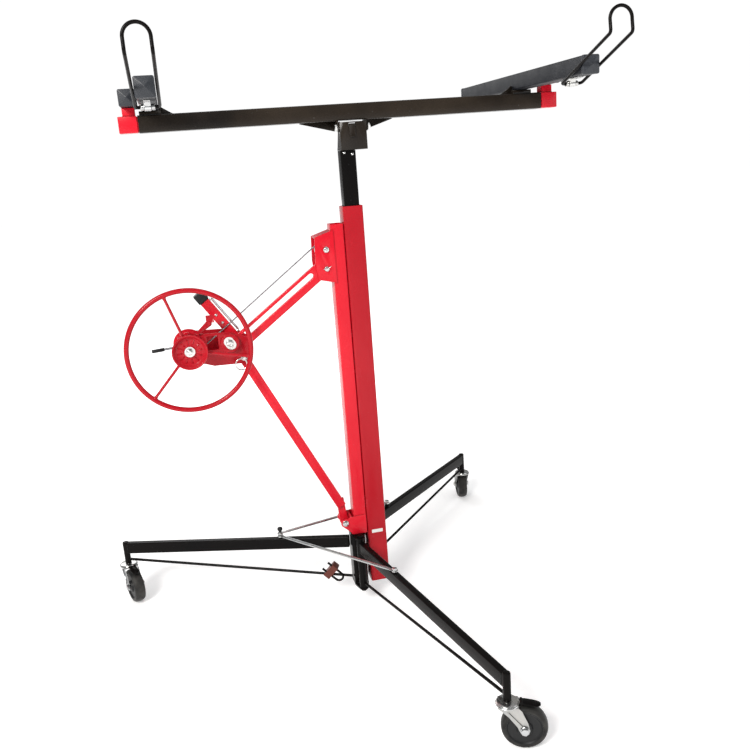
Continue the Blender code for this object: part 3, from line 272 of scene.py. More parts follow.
# ---------------------------------------------------------------- shapes, placed from the mast's axis
def mesh_object(name, verts, faces):
    mesh = bpy.data.meshes.new(name)
    mesh.from_pydata([tuple(v) for v in verts], [], faces)
    bm = bmesh.new()
    bm.from_mesh(mesh)
    bmesh.ops.remove_doubles(bm, verts=bm.verts, dist=0.000002)
    bmesh.ops.recalc_face_normals(bm, faces=bm.faces)
    bm.to_mesh(mesh)
    bm.free()
    return new_object(name, mesh)


def loft(name, rows, ring=False):
    """Skin over rows of points. The rows close on themselves in a ring, or else both ends are capped."""
    count = len(rows[0])
    verts = [p for row in rows for p in row]
    faces = [] if ring else [tuple(range(count)), tuple(range(len(verts) - count, len(verts)))]
    for r in range(len(rows) if ring else len(rows) - 1):
        s = (r + 1) % len(rows)
        for i in range(count):
            j = (i + 1) % count
            faces.append((r * count + i, r * count + j, s * count + j, s * count + i))
    return mesh_object(name, verts, faces)


def basis(along, up):
    along = Vector(along).normalized()
    side = Vector(up).cross(along).normalized()
    return side, along.cross(side), along


def rounded_loop(width, height, radius, steps=4):
    points = []
    for cx, cy, start in ((1, 1, 0), (-1, 1, 90), (-1, -1, 180), (1, -1, 270)):
        for i in range(steps + 1):
            a = math.radians(start + 90 * i / steps)
            points.append((cx * (width / 2 - radius) + radius * math.cos(a),
                           cy * (height / 2 - radius) + radius * math.sin(a)))
    return points


def tube(name, start, end, width, height, wall, radius, up=UP):
    """Box tube with rounded corners, open at both ends. Height runs along up."""
    start, end = Vector(start), Vector(end)
    side, over, along = basis(end - start, up)
    outer = rounded_loop(width, height, radius)
    inner = rounded_loop(width - 2 * wall, height - 2 * wall, max(radius - wall, 0.0005))
    length = (end - start).length
    lip = 0.0004
    shrink = [(a * (1 - 2 * lip / width), b * (1 - 2 * lip / height)) for a, b in outer]
    stations = ((outer, lip), (outer, length - lip), (shrink, length), (inner, length), (inner, 0),
                (shrink, 0))
    rows = [[start + along * place + side * a + over * b for a, b in loop] for loop, place in stations]
    return loft(name, rows, ring=True)


def block(name, low, high):
    bm = bmesh.new()
    bmesh.ops.create_cube(bm, size=1)
    bmesh.ops.scale(bm, vec=[h - a for a, h in zip(low, high)], verts=bm.verts)
    bmesh.ops.translate(bm, vec=[(h + a) / 2 for a, h in zip(low, high)], verts=bm.verts)
    mesh = bpy.data.meshes.new(name)
    bm.to_mesh(mesh)
    bm.free()
    return new_object(name, mesh)


def curve_mesh(name, curve, loops, cyclic, merge, matrix=None):
    """The shape of a curve through the loops, as a clean mesh; a flat one is moved by the matrix."""
    for loop in loops:
        spline = curve.splines.new("POLY")
        spline.points.add(len(loop) - 1)
        for point, place in zip(spline.points, loop):
            point.co = (*place, 1)
        spline.use_cyclic_u = cyclic
    obj = new_object(name + "_curve", curve)
    bpy.context.view_layer.update()
    mesh = bpy.data.meshes.new_from_object(obj.evaluated_get(bpy.context.evaluated_depsgraph_get()))
    bpy.data.objects.remove(obj)
    bm = bmesh.new()
    bm.from_mesh(mesh)
    if matrix:
        bm.transform(matrix)
    bmesh.ops.remove_doubles(bm, verts=bm.verts, dist=merge)
    if matrix:
        bmesh.ops.dissolve_limit(bm, angle_limit=0.01, verts=bm.verts, edges=bm.edges)
    bmesh.ops.recalc_face_normals(bm, faces=bm.faces)
    bm.to_mesh(mesh)
    bm.free()
    mesh.name = name
    return new_object(name, mesh)


def plate(name, outline, holes, origin, u, v, depth):
    """Flat plate with holes, from origin along u x v."""
    curve = bpy.data.curves.new(name, "CURVE")
    curve.dimensions = "2D"
    curve.fill_mode = "BOTH"
    curve.extrude = depth / 2
    u, v = Vector(u).normalized(), Vector(v).normalized()
    w = u.cross(v).normalized()
    matrix = Matrix((u, v, w)).transposed().to_4x4()
    matrix.translation = Vector(origin) + w * depth / 2
    loops = [[(a, b, 0) for a, b in loop] for loop in (outline, *holes)]
    return curve_mesh(name, curve, loops, True, 0.00001, matrix)


def plate_xz(name, outline, holes, y0, y1):
    return plate(name, outline, holes, (0, y1, 0), (1, 0, 0), UP, y1 - y0)


def arc(cx, cy, radius, start, end, steps):
    turns = [math.radians(start + (end - start) * i / steps) for i in range(steps + 1)]
    return [(cx + radius * math.cos(a), cy + radius * math.sin(a)) for a in turns]


def circle(cx, cy, radius, steps=24):
    return arc(cx, cy, radius, 0, 360, steps)[:-1]


def lathe(name, profile, origin, axis, sides=40, closed=False):
    """Turned shape from (radius, height) points; a zero radius closes it."""
    origin, axis = Vector(origin), Vector(axis).normalized()
    side = axis.orthogonal().normalized()
    over = axis.cross(side)
    verts = []
    index = []
    for r, h in profile:
        row = []
        for i in range(sides):
            if r < 1e-6 and i:
                row.append(row[0])
                continue
            a = 2 * math.pi * i / sides
            verts.append(origin + axis * h + (side * math.cos(a) + over * math.sin(a)) * r)
            row.append(len(verts) - 1)
        index.append(row)
    faces = []
    pairs = list(zip(index, index[1:]))
    if closed:
        pairs.append((index[-1], index[0]))
    for a, b in pairs:
        for i in range(sides):
            j = (i + 1) % sides
            face = []
            for k in (a[i], a[j], b[j], b[i]):
                if k not in face:
                    face.append(k)
            if len(face) > 2:
                faces.append(face)
    return mesh_object(name, verts, faces)


def mirrored(half):
    """A turned profile with its other half, at the opposite heights."""
    return half + [(r, -h) for r, h in reversed(half)]


def rod(name, start, end, radius, sides=24):
    start, end = Vector(start), Vector(end)
    length = (end - start).length
    c = min(radius * 0.15, 0.0006)
    profile = [(0, 0), (radius - c, 0), (radius, c), (radius, length - c), (radius - c, length), (0, length)]
    return lathe(name, profile, start, end - start, sides)


def hexagon(name, start, end, radius):
    """Hexagon nut or bolt head with turned corners."""
    start, end = Vector(start), Vector(end)
    length = (end - start).length
    c = radius * 0.1
    profile = [(0, 0), (radius - c, 0), (radius, c * 0.6), (radius, length - c * 0.6), (radius - c, length),
               (0, length)]
    return lathe(name, profile, start, end - start, 6)


def smooth_path(points, radius, steps=7, cyclic=False):
    """The points with rounded corners."""
    points = [Vector(p) for p in points]
    if radius <= 0:
        return points
    out = []
    count = len(points)
    for i, p in enumerate(points):
        if not cyclic and i in (0, count - 1):
            out.append(p)
            continue
        a, b = points[i - 1] - p, points[(i + 1) % count] - p
        angle = a.angle(b)
        if angle > math.radians(172):
            out.append(p)
            continue
        cut = min(radius / math.tan(angle / 2), a.length * 0.48, b.length * 0.48)
        p0, p1 = p + a.normalized() * cut, p + b.normalized() * cut
        for k in range(steps + 1):
            t = k / steps
            out.append(p0.lerp(p, t).lerp(p.lerp(p1, t), t))
    return out


def wire(name, points, radius, cyclic=False, bend=0.0, resolution=4):
    curve = bpy.data.curves.new(name, "CURVE")
    curve.dimensions = "3D"
    curve.bevel_depth = radius
    curve.bevel_resolution = resolution
    curve.use_fill_caps = True
    return curve_mesh(name, curve, [smooth_path(points, bend, cyclic=cyclic)], cyclic, 0.000005)


def join(name, *objs):
    """Several shapes as one piece."""
    graph = bpy.context.evaluated_depsgraph_get()
    bpy.context.view_layer.update()
    bm = bmesh.new()
    for obj in objs:
        mesh = bpy.data.meshes.new_from_object(obj.evaluated_get(graph))
        mesh.transform(obj.matrix_world)
        bm.from_mesh(mesh)
    for obj in objs:
        bpy.data.objects.remove(obj)
    mesh = bpy.data.meshes.new(name)
    bm.to_mesh(mesh)
    bm.free()
    return new_object(name, mesh)


def bevel(obj, width, segments=2, angle=35):
    mod = obj.modifiers.new("edges", "BEVEL")
    mod.width = width
    mod.segments = segments
    mod.limit_method = "ANGLE"
    mod.angle_limit = math.radians(angle)
    mod.harden_normals = True
    return obj


def dress(obj, material):
    obj.data.materials.clear()
    obj.data.materials.append(MATERIALS[material])
    obj.data.shade_smooth()
    obj.data.set_sharp_from_angle(angle=SMOOTH_BELOW)


def put(obj, body, material, *replaced):
    """Place a finished piece, give it its finish and hang it on its body."""
    obj.data.transform(Matrix.Translation(SHIFT))
    dress(obj, material)
    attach(obj, body)
    if replaced:
        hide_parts(*replaced)


def keep(node, material, width=0.0006, segments=2):
    """A CAD node that stays: a finish, and edges broken by a bevel."""
    obj = NODES[node]
    weld = obj.modifiers.new("weld", "WELD")
    weld.merge_threshold = 0.00001
    if width:
        bevel(obj, width, segments, 40)
    dress(obj, material)


def weld_bead(name, start, end, radius, body, material):
    """A short row of overlapping weld ripples."""
    start, end = Vector(start), Vector(end)
    count = max(3, int((end - start).length / (radius * 0.9)))
    shapes = []
    for i in range(count + 1):
        bm = bmesh.new()
        bmesh.ops.create_icosphere(bm, subdivisions=2, radius=radius * (1 + 0.1 * math.sin(i * 2.3)))
        bmesh.ops.translate(bm, vec=start.lerp(end, i / count), verts=bm.verts)
        mesh = bpy.data.meshes.new(name)
        bm.to_mesh(mesh)
        bm.free()
        shapes.append(new_object(name + "_ripple", mesh))
    put(join(name, *shapes), body, material)


# ---------------------------------------------------------------- casters
def heading(angle):
    return Vector((math.cos(math.radians(angle)), math.sin(math.radians(angle)), 0))


def make_caster(name, angle):
    """Zinc fork with ball race, moulded hub, tyre, axle bolt and brake pedal."""
    low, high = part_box(name + "_caster_wheel")
    centre = (low + high) / 2 - SHIFT
    out = heading(angle)
    across = UP.cross(out)
    body, wheel_body = name + "_caster", name + "_wheel"
    w = 0.016                # half the tyre's width
    tyre = [(0.04, -w + 0.001), (0.043, -w), (0.0465, -w + 0.0012), (0.049, -w + 0.0045),
            (0.0503, -w + 0.009), (0.0508, -0.002)]
    put(lathe(name + "_tyre", mirrored(tyre), centre, across, 64, closed=True), wheel_body, "tyre_rubber",
        name + "_caster_wheel")
    hub = [(0.0058, -w - 0.0008), (0.015, -w - 0.0008), (0.0165, -w + 0.001), (0.018, -w + 0.0042),
           (0.036, -w + 0.0042), (0.0385, -w + 0.0012), (0.0399, -w + 0.0012)]
    put(lathe(name + "_hub", mirrored(hub), centre, across, 48, closed=True), wheel_body, "hub_plastic")
    stem = centre - out * 0.035
    stem.z = 0

    def local(x, y, z):
        return stem + out * x + across * y + UP * z

    outer = w + 0.0055
    cheeks = []
    outline = [(-0.0205, 0.105), (0.024, 0.105), (0.03, 0.0985), (0.035, 0.086), (0.042, 0.07)]
    outline += arc(0.035, 0.0508, 0.011, 22, -150, 10) + [(0.019, 0.06), (0.002, 0.083), (-0.013, 0.098)]
    for sign, cheek_y in ((-1, -outer), (1, outer - 0.0028)):
        cheek = plate(name + "_cheek", outline, [], local(0, cheek_y, 0), out, UP, -0.0028)
        cheeks.append(bevel(cheek, 0.0007))
        rib = [local(0.0, sign * (outer + 0.0002), 0.0965), local(0.017, sign * (outer + 0.0004), 0.076),
               local(0.03, sign * (outer + 0.0004), 0.061)]
        cheeks.append(wire(name + "_rib", rib, 0.0014, resolution=2))
    crown = block(name + "_crown", (-0.0205, -outer, 0.1035), (0.024, outer, 0.1068))
    crown.data.transform(Matrix.Translation(stem) @ Matrix((out, across, UP)).transposed().to_4x4())
    fork = join(name + "_fork_plates", *cheeks, bevel(crown, 0.001))
    put(fork, body, "fork_zinc", name + "_caster_fork")
    race = [(0, 0.104), (0.0235, 0.104), (0.0258, 0.1052), (0.0262, 0.1068), (0.025, 0.1082),
            (0.0236, 0.1086),
            (0.024, 0.1096), (0.0232, 0.111), (0.0205, 0.1118), (0.01, 0.1119), (0.01, 0.112), (0, 0.112)]
    put(lathe(name + "_ball_race", race, stem, UP, 48), body, "bright_zinc")
    put(rod(name + "_stem", stem + UP * 0.11, stem + UP * 0.155, 0.0055), body, "bright_zinc")
    reach = outer + 0.0058
    bolt = [rod("bolt", centre - across * reach, centre + across * (reach + 0.0006), 0.0045, 20)]
    for way, end in ((-across, reach + 0.0001), (across, reach - 0.001)):
        bolt.append(hexagon("head", centre + way * (outer + 0.0012), centre + way * end, 0.0088))
        bolt.append(rod("washer", centre + way * (outer + 0.0001), centre + way * (outer + 0.0012), 0.01, 28))
    put(join(name + "_axle_bolt", *bolt), body, "bright_zinc", name + "_caster_axle")
    make_pedal(name, local)


def make_pedal(name, local):
    """Brake pedal on the fork: a tapered tread plate with grip ribs, hinged on a roll."""
    slope = math.radians(9)
    hinge_x, hinge_z = 0.0295, 0.1095

    def on_pedal(x, y, z):
        return local(hinge_x + x * math.cos(slope) + z * math.sin(slope), y,
                     hinge_z - x * math.sin(slope) + z * math.cos(slope))

    rows = []
    for x, half in ((0.0, 0.01), (0.008, 0.0108), (0.022, 0.011), (0.032, 0.0104), (0.038, 0.008),
                    (0.0415, 0.004)):
        lift = 0.0004 * math.sin(x * 150)
        section = ((-half, 0.0009), (-half * 0.94, 0.0013), (half * 0.94, 0.0013), (half, 0.0009),
                   (half, -0.0009),
                   (-half, -0.0009))
        rows.append([on_pedal(x, y, z + lift) for y, z in section])
    pedal = loft("pedal_plate", rows)
    ribs = [rod("grip", on_pedal(x, -0.0085, 0.0013), on_pedal(x, 0.0085, 0.0013), 0.0009, 10)
            for x in (0.02, 0.025, 0.03)]
    roll = rod("roll", on_pedal(0, -0.011, 0), on_pedal(0, 0.011, 0), 0.003, 20)
    put(join(name + "_pedal", pedal, roll, *ribs), name + "_pedal", "black_gloss", name + "_brake_pedal")


# ---------------------------------------------------------------- base
FRONT_PIVOT, REAR_PIVOT, HUB_EDGE = (-0.056, -0.046), (-0.04, 0.048), (-0.076, 0.0)
FRONT_HEADING, REAR_HEADING, WINCH_HEADING = -76.5, 44.4, 158.5
LEG_REACH = 0.695                # pivot to caster stem
HUB_LOW, HUB_HIGH = 0.05, 0.2118
NEAR_STAY_Z, FAR_STAY_Z = 0.1985, 0.2075
NEAR_STAY_OUT, FAR_STAY_OUT, STAY_MEET_OUT = 0.205, 0.165, 0.208     # the stays' pins, along the legs
LEGS = (("front", FRONT_PIVOT, FRONT_HEADING, "front_leg_body", 0.004, 0.009, True),
        ("rear", REAR_PIVOT, REAR_HEADING, "rear_leg_body", 0.004, 0.009, True),
        ("winch", HUB_EDGE, WINCH_HEADING, "frame", 0.0046, 0.0025, False))


def make_leg(name, start_xy, angle, body, clear, tie_in, hinged):
    """Rounded box tube, upright post with a cap, tie rod, hinge barrel and their welds."""
    out = heading(angle)
    foot = Vector((*start_xy, 0))
    start, end = foot + UP * 0.1825, foot + out * LEG_REACH + UP * 0.162
    step = (end - start).normalized()
    shapes = [tube("leg_tube", start + step * clear, end, 0.018, 0.034, 0.002, 0.0028)]
    post = [(0, 0.1123), (0.0082, 0.1123), (0.009, 0.1131), (0.009, 0.1788), (0.0084, 0.1802), (0.006, 0.181),
            (0, 0.1811)]
    shapes.append(lathe("leg_post", post, foot + out * LEG_REACH, UP, 32))
    low = foot + out * tie_in + UP * 0.07
    high = foot + out * (LEG_REACH - 0.006) + UP * 0.124
    shapes.append(rod("tie_rod", low, high, 0.004, 16))
    if hinged:
        barrel = [(0.0063, 0.0557), (0.0112, 0.0557), (0.012, 0.0565), (0.012, 0.2057), (0.0112, 0.2065),
                  (0.0063, 0.2065)]
        shapes.append(lathe("leg_barrel", barrel, foot, UP, 32, closed=True))
    if name == "rear":
        boss = [(0, 0.182), (0.008, 0.182), (0.008, 0.202), (0.0074, 0.2028), (0, 0.2028)]
        shapes.append(lathe("leg_boss", boss, foot + out * FAR_STAY_OUT, UP, 28))
    put(join(name + "_leg_frame", *shapes), body, "black_gloss", name + "_leg")
    side = UP.cross(out)
    for sign, label in ((-1, "near"), (1, "far")):
        at = end - step * 0.0086 + side * sign * 0.0088
        weld_bead(name + "_leg_weld_" + label, at - UP * 0.014, at + UP * 0.013, 0.0014, body, "weld_black")
    at = high - step * 0.002
    weld_bead(name + "_tie_weld", at + side * 0.0036, at - side * 0.0036, 0.0016, body, "weld_black")
    if hinged:
        for sign, label in ((-1, "a"), (1, "b")):
            at = start + step * 0.0118 + side * sign * 0.0088
            weld_bead(name + "_barrel_weld_" + label, at - UP * 0.015, at + UP * 0.014, 0.0014, body,
                      "weld_black")


def make_stay(name, body, place, far_place):
    """Round rod whose ends are flattened into eyes, with a nut on the outer one."""
    place, far_place = Vector(place), Vector(far_place)
    step = (far_place - place).normalized()
    side = UP.cross(step)
    length = (far_place - place).length
    sections = ((0.007, 0.006, 0.002), (0.012, 0.0056, 0.0022), (0.02, 0.0044, 0.0034), (0.028, 0.004, 0.004))
    rows = []
    for distance, wide, high in [*sections, *((length - d, w, h) for d, w, h in reversed(sections))]:
        centre = place + step * distance
        turns = [2 * math.pi * i / 20 for i in range(20)]
        rows.append([centre + side * wide * math.cos(a) + UP * high * math.sin(a) for a in turns])
    shapes = [loft("stay_run", rows)]
    eye = mirrored([(0.0042, -0.002), (0.008, -0.002), (0.0086, -0.0014)])
    for end in (place, far_place):
        shapes.append(lathe("stay_eye", eye, end, UP, 28, closed=True))
        shapes.append(rod("stay_pin", end - UP * 0.0034, end + UP * 0.0034, 0.0041, 16))
    put(join(name + "_bar", *shapes), body, "rod_zinc", name + "_rod")
    nut = [hexagon("nut", place + UP * 0.0024, place + UP * 0.0074, 0.0072),
           rod("washer", place + UP * 0.0016, place + UP * 0.0026, 0.0084, 24)]
    put(join(name + "_nut", *nut), body, "bright_zinc")


def make_base():
    for leg in LEGS:
        make_leg(*leg)
    front = Vector((*FRONT_PIVOT, NEAR_STAY_Z)) + heading(FRONT_HEADING) * NEAR_STAY_OUT
    rear = Vector((*REAR_PIVOT, FAR_STAY_Z)) + heading(REAR_HEADING) * FAR_STAY_OUT
    meet = Vector((*HUB_EDGE, 0)) + heading(WINCH_HEADING) * STAY_MEET_OUT
    make_stay("near_stay", "near_stay", front, meet + UP * NEAR_STAY_Z)
    make_stay("far_stay", "far_stay", rear, meet + UP * FAR_STAY_Z)
    knob = [(0, 0.0), (0.0045, 0.0), (0.0045, 0.0046), (0.0066, 0.0052), (0.0073, 0.0066), (0.0071, 0.011),
            (0.0064, 0.0132), (0.0046, 0.0141), (0, 0.0143)]
    foot = meet + UP * (FAR_STAY_Z + 0.0046)
    ribs = []
    for i in range(12):
        a = 2 * math.pi * i / 12
        ribs.append(rod("rib", foot + Vector((0.0068 * math.cos(a), 0.0068 * math.sin(a), 0.0062)),
                        foot + Vector((0.0064 * math.cos(a), 0.0064 * math.sin(a), 0.0122)), 0.0009, 8))
    put(join("stay_grip", lathe("knob", knob, foot, UP, 36), *ribs), "knob", "dark_plastic", "stay_knob")
    keep("base_hub", "black_gloss", 0.0014, 3)
    for name, (x, y) in (("front", FRONT_PIVOT), ("rear", REAR_PIVOT)):
        bolt = [rod("pin", (x, y, HUB_LOW - 0.004), (x, y, HUB_HIGH + 0.002), 0.006)]
        for z, sign in ((HUB_HIGH, 1), (HUB_LOW, -1)):
            bolt.append(rod("washer", (x, y, z + sign * 0.0001), (x, y, z + sign * 0.0012), 0.0105, 28))
            bolt.append(hexagon("head", (x, y, z + sign * 0.0012), (x, y, z + sign * 0.0058), 0.0088))
        put(join(name + "_pivot_bolt", *bolt), "frame", "black_gloss", name + "_leg_pin")
    for z, label in ((HUB_HIGH - 0.0052, "upper"), (HUB_LOW + 0.0052, "lower")):
        weld_bead("hub_weld_" + label, (-0.0735, -0.02, z), (-0.0385, -0.02, z), 0.0014, "frame",
                  "weld_black")
    keep("latch_block", "brown_red_paint", 0.0018, 3)
    keep("latch_u_rod", "black_gloss", 0)


# ---------------------------------------------------------------- mast, post and frame
BRACE_BOLT = (-0.0909, 0.2525)
PULLEY_AXIS = (-0.08, 1.03)
HOUSING_BOLT = (-0.082, 0.98)
PLATE_OUT = 0.0285
GUIDE_Z = (0.3, 1.045)               # undersides of the post's two mast guides
LABEL_X, LABEL_Z = 0.0, 0.2134      # middle of the blank label on the mast


def cross_bolt(name, x, z, radius, node, body="frame"):
    """Bolt along Y through both plates, with washers, a hexagon head and a nut."""
    reach = PLATE_OUT + 0.0002
    shapes = [rod("shank", (x, -reach - 0.006, z), (x, reach + 0.0072, z), radius * 0.55, 16)]
    for sign in (-1, 1):
        shapes.append(rod("washer", (x, sign * reach, z), (x, sign * (reach + 0.0012), z), radius * 1.18, 28))
        shapes.append(hexagon("head", (x, sign * (reach + 0.0012), z), (x, sign * (reach + 0.0056), z),
                              radius))
    return put(join(name, *shapes), body, "bright_zinc", node)


def mast_and_post():
    z0, z1 = MAST_LOW.z, MAST_HIGH.z
    # The mast tube takes the darker red copy: painted shade on its face.
    put(tube("mast_tube", (0, 0, z0), (0, 0, z1), 0.054, 0.054, 0.0025, 0.0045, ALONG_Y),
        "outer_mast_body", "red_gloss_painted_shade", "outer_mast")
    low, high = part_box("inner_mast")
    put(tube("inner_tube", (0, 0, low.z), (0, 0, high.z), 0.04, 0.04, 0.002, 0.0035, ALONG_Y),
        "inner_mast_body", "black_gloss", "inner_mast")
    for x, z, name in ((-0.0105, 0.0055, "left"), (0.0105, 0.01, "right")):
        head = [(0, -0.001), (0.002, -0.0009), (0.003, -0.0003), (0.003, 0.0004), (0, 0.0004)]
        screw = lathe("tube_screw_" + name, head, (x, -0.0202, high.z - z), ALONG_Y, 20)
        put(screw, "inner_mast_body", "bright_zinc")
    middle = (-0.064 - 0.0285) / 2
    post = tube("post_tube", (middle, 0, 0.2121), (middle, 0, 1.093), 0.0355, 0.05, 0.002, 0.004, ALONG_Y)
    straps = []
    for z in GUIDE_Z:
        outline = [(-0.057, 0.024), (-0.031, 0.024), (-0.031, 0.0276), (0.0276, 0.0276), (0.0276, 0.01),
                   (0.0306, 0.01), (0.0306, 0.0306), (-0.057, 0.0306)]
        straps.append(bevel(plate("strap", outline, [], (0, 0, z), (1, 0, 0), ALONG_Y, 0.035), 0.0012))
    put(join("guide_post", post, *straps), "frame", "red_gloss", "frame_post")
    for z, label in zip(GUIDE_Z, ("low", "high")):
        pad = bevel(block("guide_pad_" + label, (-0.02, 0.02705, z + 0.004), (0.02, 0.0276, z + 0.031)),
                    0.0002)
        put(pad, "frame", "moulded_plastic")
    label = block("blank_label", (LABEL_X - 0.016, -0.0273, LABEL_Z - 0.005),
                  (LABEL_X + 0.016, -0.02695, LABEL_Z + 0.005))
    put(bevel(label, 0.0001), "outer_mast_body", "blank_label")


def make_frame():
    keep("lower_bracket", "red_gloss", 0.0009, 2)
    keep("winch_brace", "red_gloss", 0.002, 3)
    keep("upper_arm", "red_gloss", 0.0018, 3)
    keep("pulley_housing", "red_gloss", 0.0009, 2)
    cross_bolt("foot_bolt", *BRACE_BOLT, 0.0075, "brace_bolt")
    cross_bolt("pulley_bolt", *PULLEY_AXIS, 0.0066, "pulley_axle")
    cross_bolt("housing_screw", *HOUSING_BOLT, 0.0056, "housing_bolt")
    x, z = HOUSING_BOLT
    wing = []
    for side, rise in ((-1, 0.0005), (1, 0.0075)):
        line = [(x, -0.0352, z), (x + 0.005 * side, -0.0365, z + 0.003),
                (x + 0.0105 * side, -0.0362, z + rise)]
        wing.append(wire("leg", line, 0.001, bend=0.003))
    put(join("cotter_pin", *wing), "frame", "bright_zinc")
    x, z = PULLEY_AXIS
    groove = [(0.0056, -0.005), (0.011, -0.005), (0.012, -0.004), (0.0225, -0.0034), (0.024, -0.005),
              (0.0262, -0.005), (0.0265, -0.0045), (0.0264, -0.0038), (0.0212, -0.002), (0.0204, -0.0008)]
    put(lathe("cable_sheave", mirrored(groove), (x, 0, z), ALONG_Y, 56, closed=True), "pulley", "bright_zinc",
        "top_pulley")
    for name, start, end, radius in (
            ("bracket_weld_front", (-0.033, -0.0262, 0.215), (-0.062, -0.0262, 0.215), 0.0014),
            ("bracket_weld_top", (-0.033, -0.0262, 0.2695), (-0.062, -0.0262, 0.2688), 0.0014),
            ("housing_weld", (-0.059, -0.0262, 0.945), (-0.059, -0.0262, 1.076), 0.0013)):
        weld_bead(name, start, end, radius, "frame", "weld_red")
    keep("lift_cable", "cable_steel", 0)


# ---------------------------------------------------------------- winch
DRUM_AXIS = (-0.458, 0.814)
IDLER_AXIS = (-0.3546, 0.8166)
BRACE_PIN = (-0.322, 0.772)
RIM_R, RIM_TUBE_R, RIM_Y = 0.154, 0.0065, -0.069
SPOKE_START = -12.0
WINDING_TURNS = 9


def along_xz(angle):
    return Vector((math.cos(math.radians(angle)), 0, math.sin(math.radians(angle))))


def make_hand_wheel():
    x, z = DRUM_AXIS
    origin = (x, 0, z)
    ring = [(RIM_R + a, RIM_Y + b) for a, b in circle(0, 0, RIM_TUBE_R, 20)]
    shapes = [lathe("rim", ring, origin, ALONG_Y, 120, closed=True)]
    hub = [(0.0083, -0.075), (0.015, -0.075), (0.016, -0.074), (0.0178, -0.0665), (0.018, -0.065),
           (0.039, -0.0645), (0.04, -0.0636), (0.04, -0.0619), (0.039, -0.061), (0.018, -0.0595),
           (0.018, -0.037), (0.017, -0.036), (0.0083, -0.036)]
    shapes.append(lathe("hub", hub, origin, ALONG_Y, 56, closed=True))
    for k in range(3):
        way = along_xz(SPOKE_START + 120 * k)
        start = Vector((x, RIM_Y, z)) + way * 0.014
        length = RIM_R - 0.016
        spoke = [(0, 0), (0.005, 0), (0.00385, 0.008), (0.00375, 0.012), (0.00375, length - 0.011),
                 (0.0044, length - 0.007), (0.0058, length - 0.004), (0.006, length), (0, length)]
        shapes.append(lathe("spoke", spoke, start, way, 20))
    put(join("wheel_frame", *shapes), "winch_rotor", "red_gloss_painted_shade", "hand_wheel")
    dish = [(0.0083, -0.0792), (0.015, -0.0792), (0.0165, -0.078), (0.03, -0.0772), (0.0345, -0.079),
            (0.0408, -0.089), (0.0424, -0.0901), (0.044, -0.09), (0.0449, -0.0886), (0.0446, -0.086),
            (0.0385, -0.0768), (0.033, -0.0742), (0.0083, -0.074)]
    put(lathe("brake_cup", dish, origin, ALONG_Y, 72, closed=True), "winch_rotor", "red_gloss_painted_shade")
    # A thin ring of the darker red just proud of the cup's floor: painted shade in the cup's hollow.
    floor = [(0.0168, -0.0787), (0.03, -0.0779), (0.035, -0.0802), (0.0352, -0.0796), (0.03, -0.0771),
             (0.0168, -0.0777)]
    inside = [lathe("cup_shade_ring", floor, origin, ALONG_Y, 72, closed=True)]
    for i in range(12):
        way, across = along_xz(30 * i + 8), along_xz(30 * i + 98)
        middle = Vector((x, -0.0786, z))
        verts = []
        for r in (0.0185, 0.0315):
            for s, y in ((-0.0022, 0.0016), (-0.0018, -0.0016), (0.0026, 0.001), (0.0026, 0.0016)):
                verts.append(middle + way * r + across * s + Vector((0, y, 0)))
        faces = [(3, 2, 1, 0), (4, 5, 6, 7), (0, 1, 5, 4), (1, 2, 6, 5), (2, 3, 7, 6), (3, 0, 4, 7)]
        inside.append(bevel(mesh_object("louvre", verts, faces), 0.0004))
    put(join("cup_louvres_and_shade_ring", *inside), "winch_rotor", "red_gloss_painted_shade")


def make_rotor():
    x, z = DRUM_AXIS
    shaft = [rod("shaft", (x, -0.094, z), (x, 0.033, z), 0.005, 32),
             rod("core", (x, -0.079, z), (x, 0.03, z), 0.008),
             rod("washer", (x, -0.0814, z), (x, -0.0794, z), 0.0138, 48),
             hexagon("nut", (x, -0.09, z), (x, -0.0814, z), 0.0084),
             rod("head", (x, PLATE_OUT + 0.0003, z), (x, 0.035, z), 0.0128, 32)]
    put(join("drive_shaft", *shaft), "winch_rotor", "bright_zinc", "winch_shaft")
    half = [(0.0083, -0.0248), (0.0385, -0.0248), (0.0398, -0.0244), (0.04, -0.0236), (0.0396, -0.0226),
            (0.038, -0.0222), (0.029, -0.0208), (0.0255, -0.0195)]
    put(lathe("drum_spool", mirrored(half), (x, 0, z), ALONG_Y, 72, closed=True), "winch_rotor", "red_gloss",
        "cable_drum")
    points = []
    steps = WINDING_TURNS * 28
    for i in range(steps + 1):
        a = 2 * math.pi * i / 28
        points.append((x + 0.0275 * math.cos(a), -0.0172 + 0.0344 * i / steps, z + 0.0275 * math.sin(a)))
    put(wire("drum_winding", points, 0.0018, resolution=1), "winch_rotor", "cable_steel")
    keep("ratchet_wheel", "red_gloss_painted_shade", 0.0003, 1)
    make_hand_wheel()


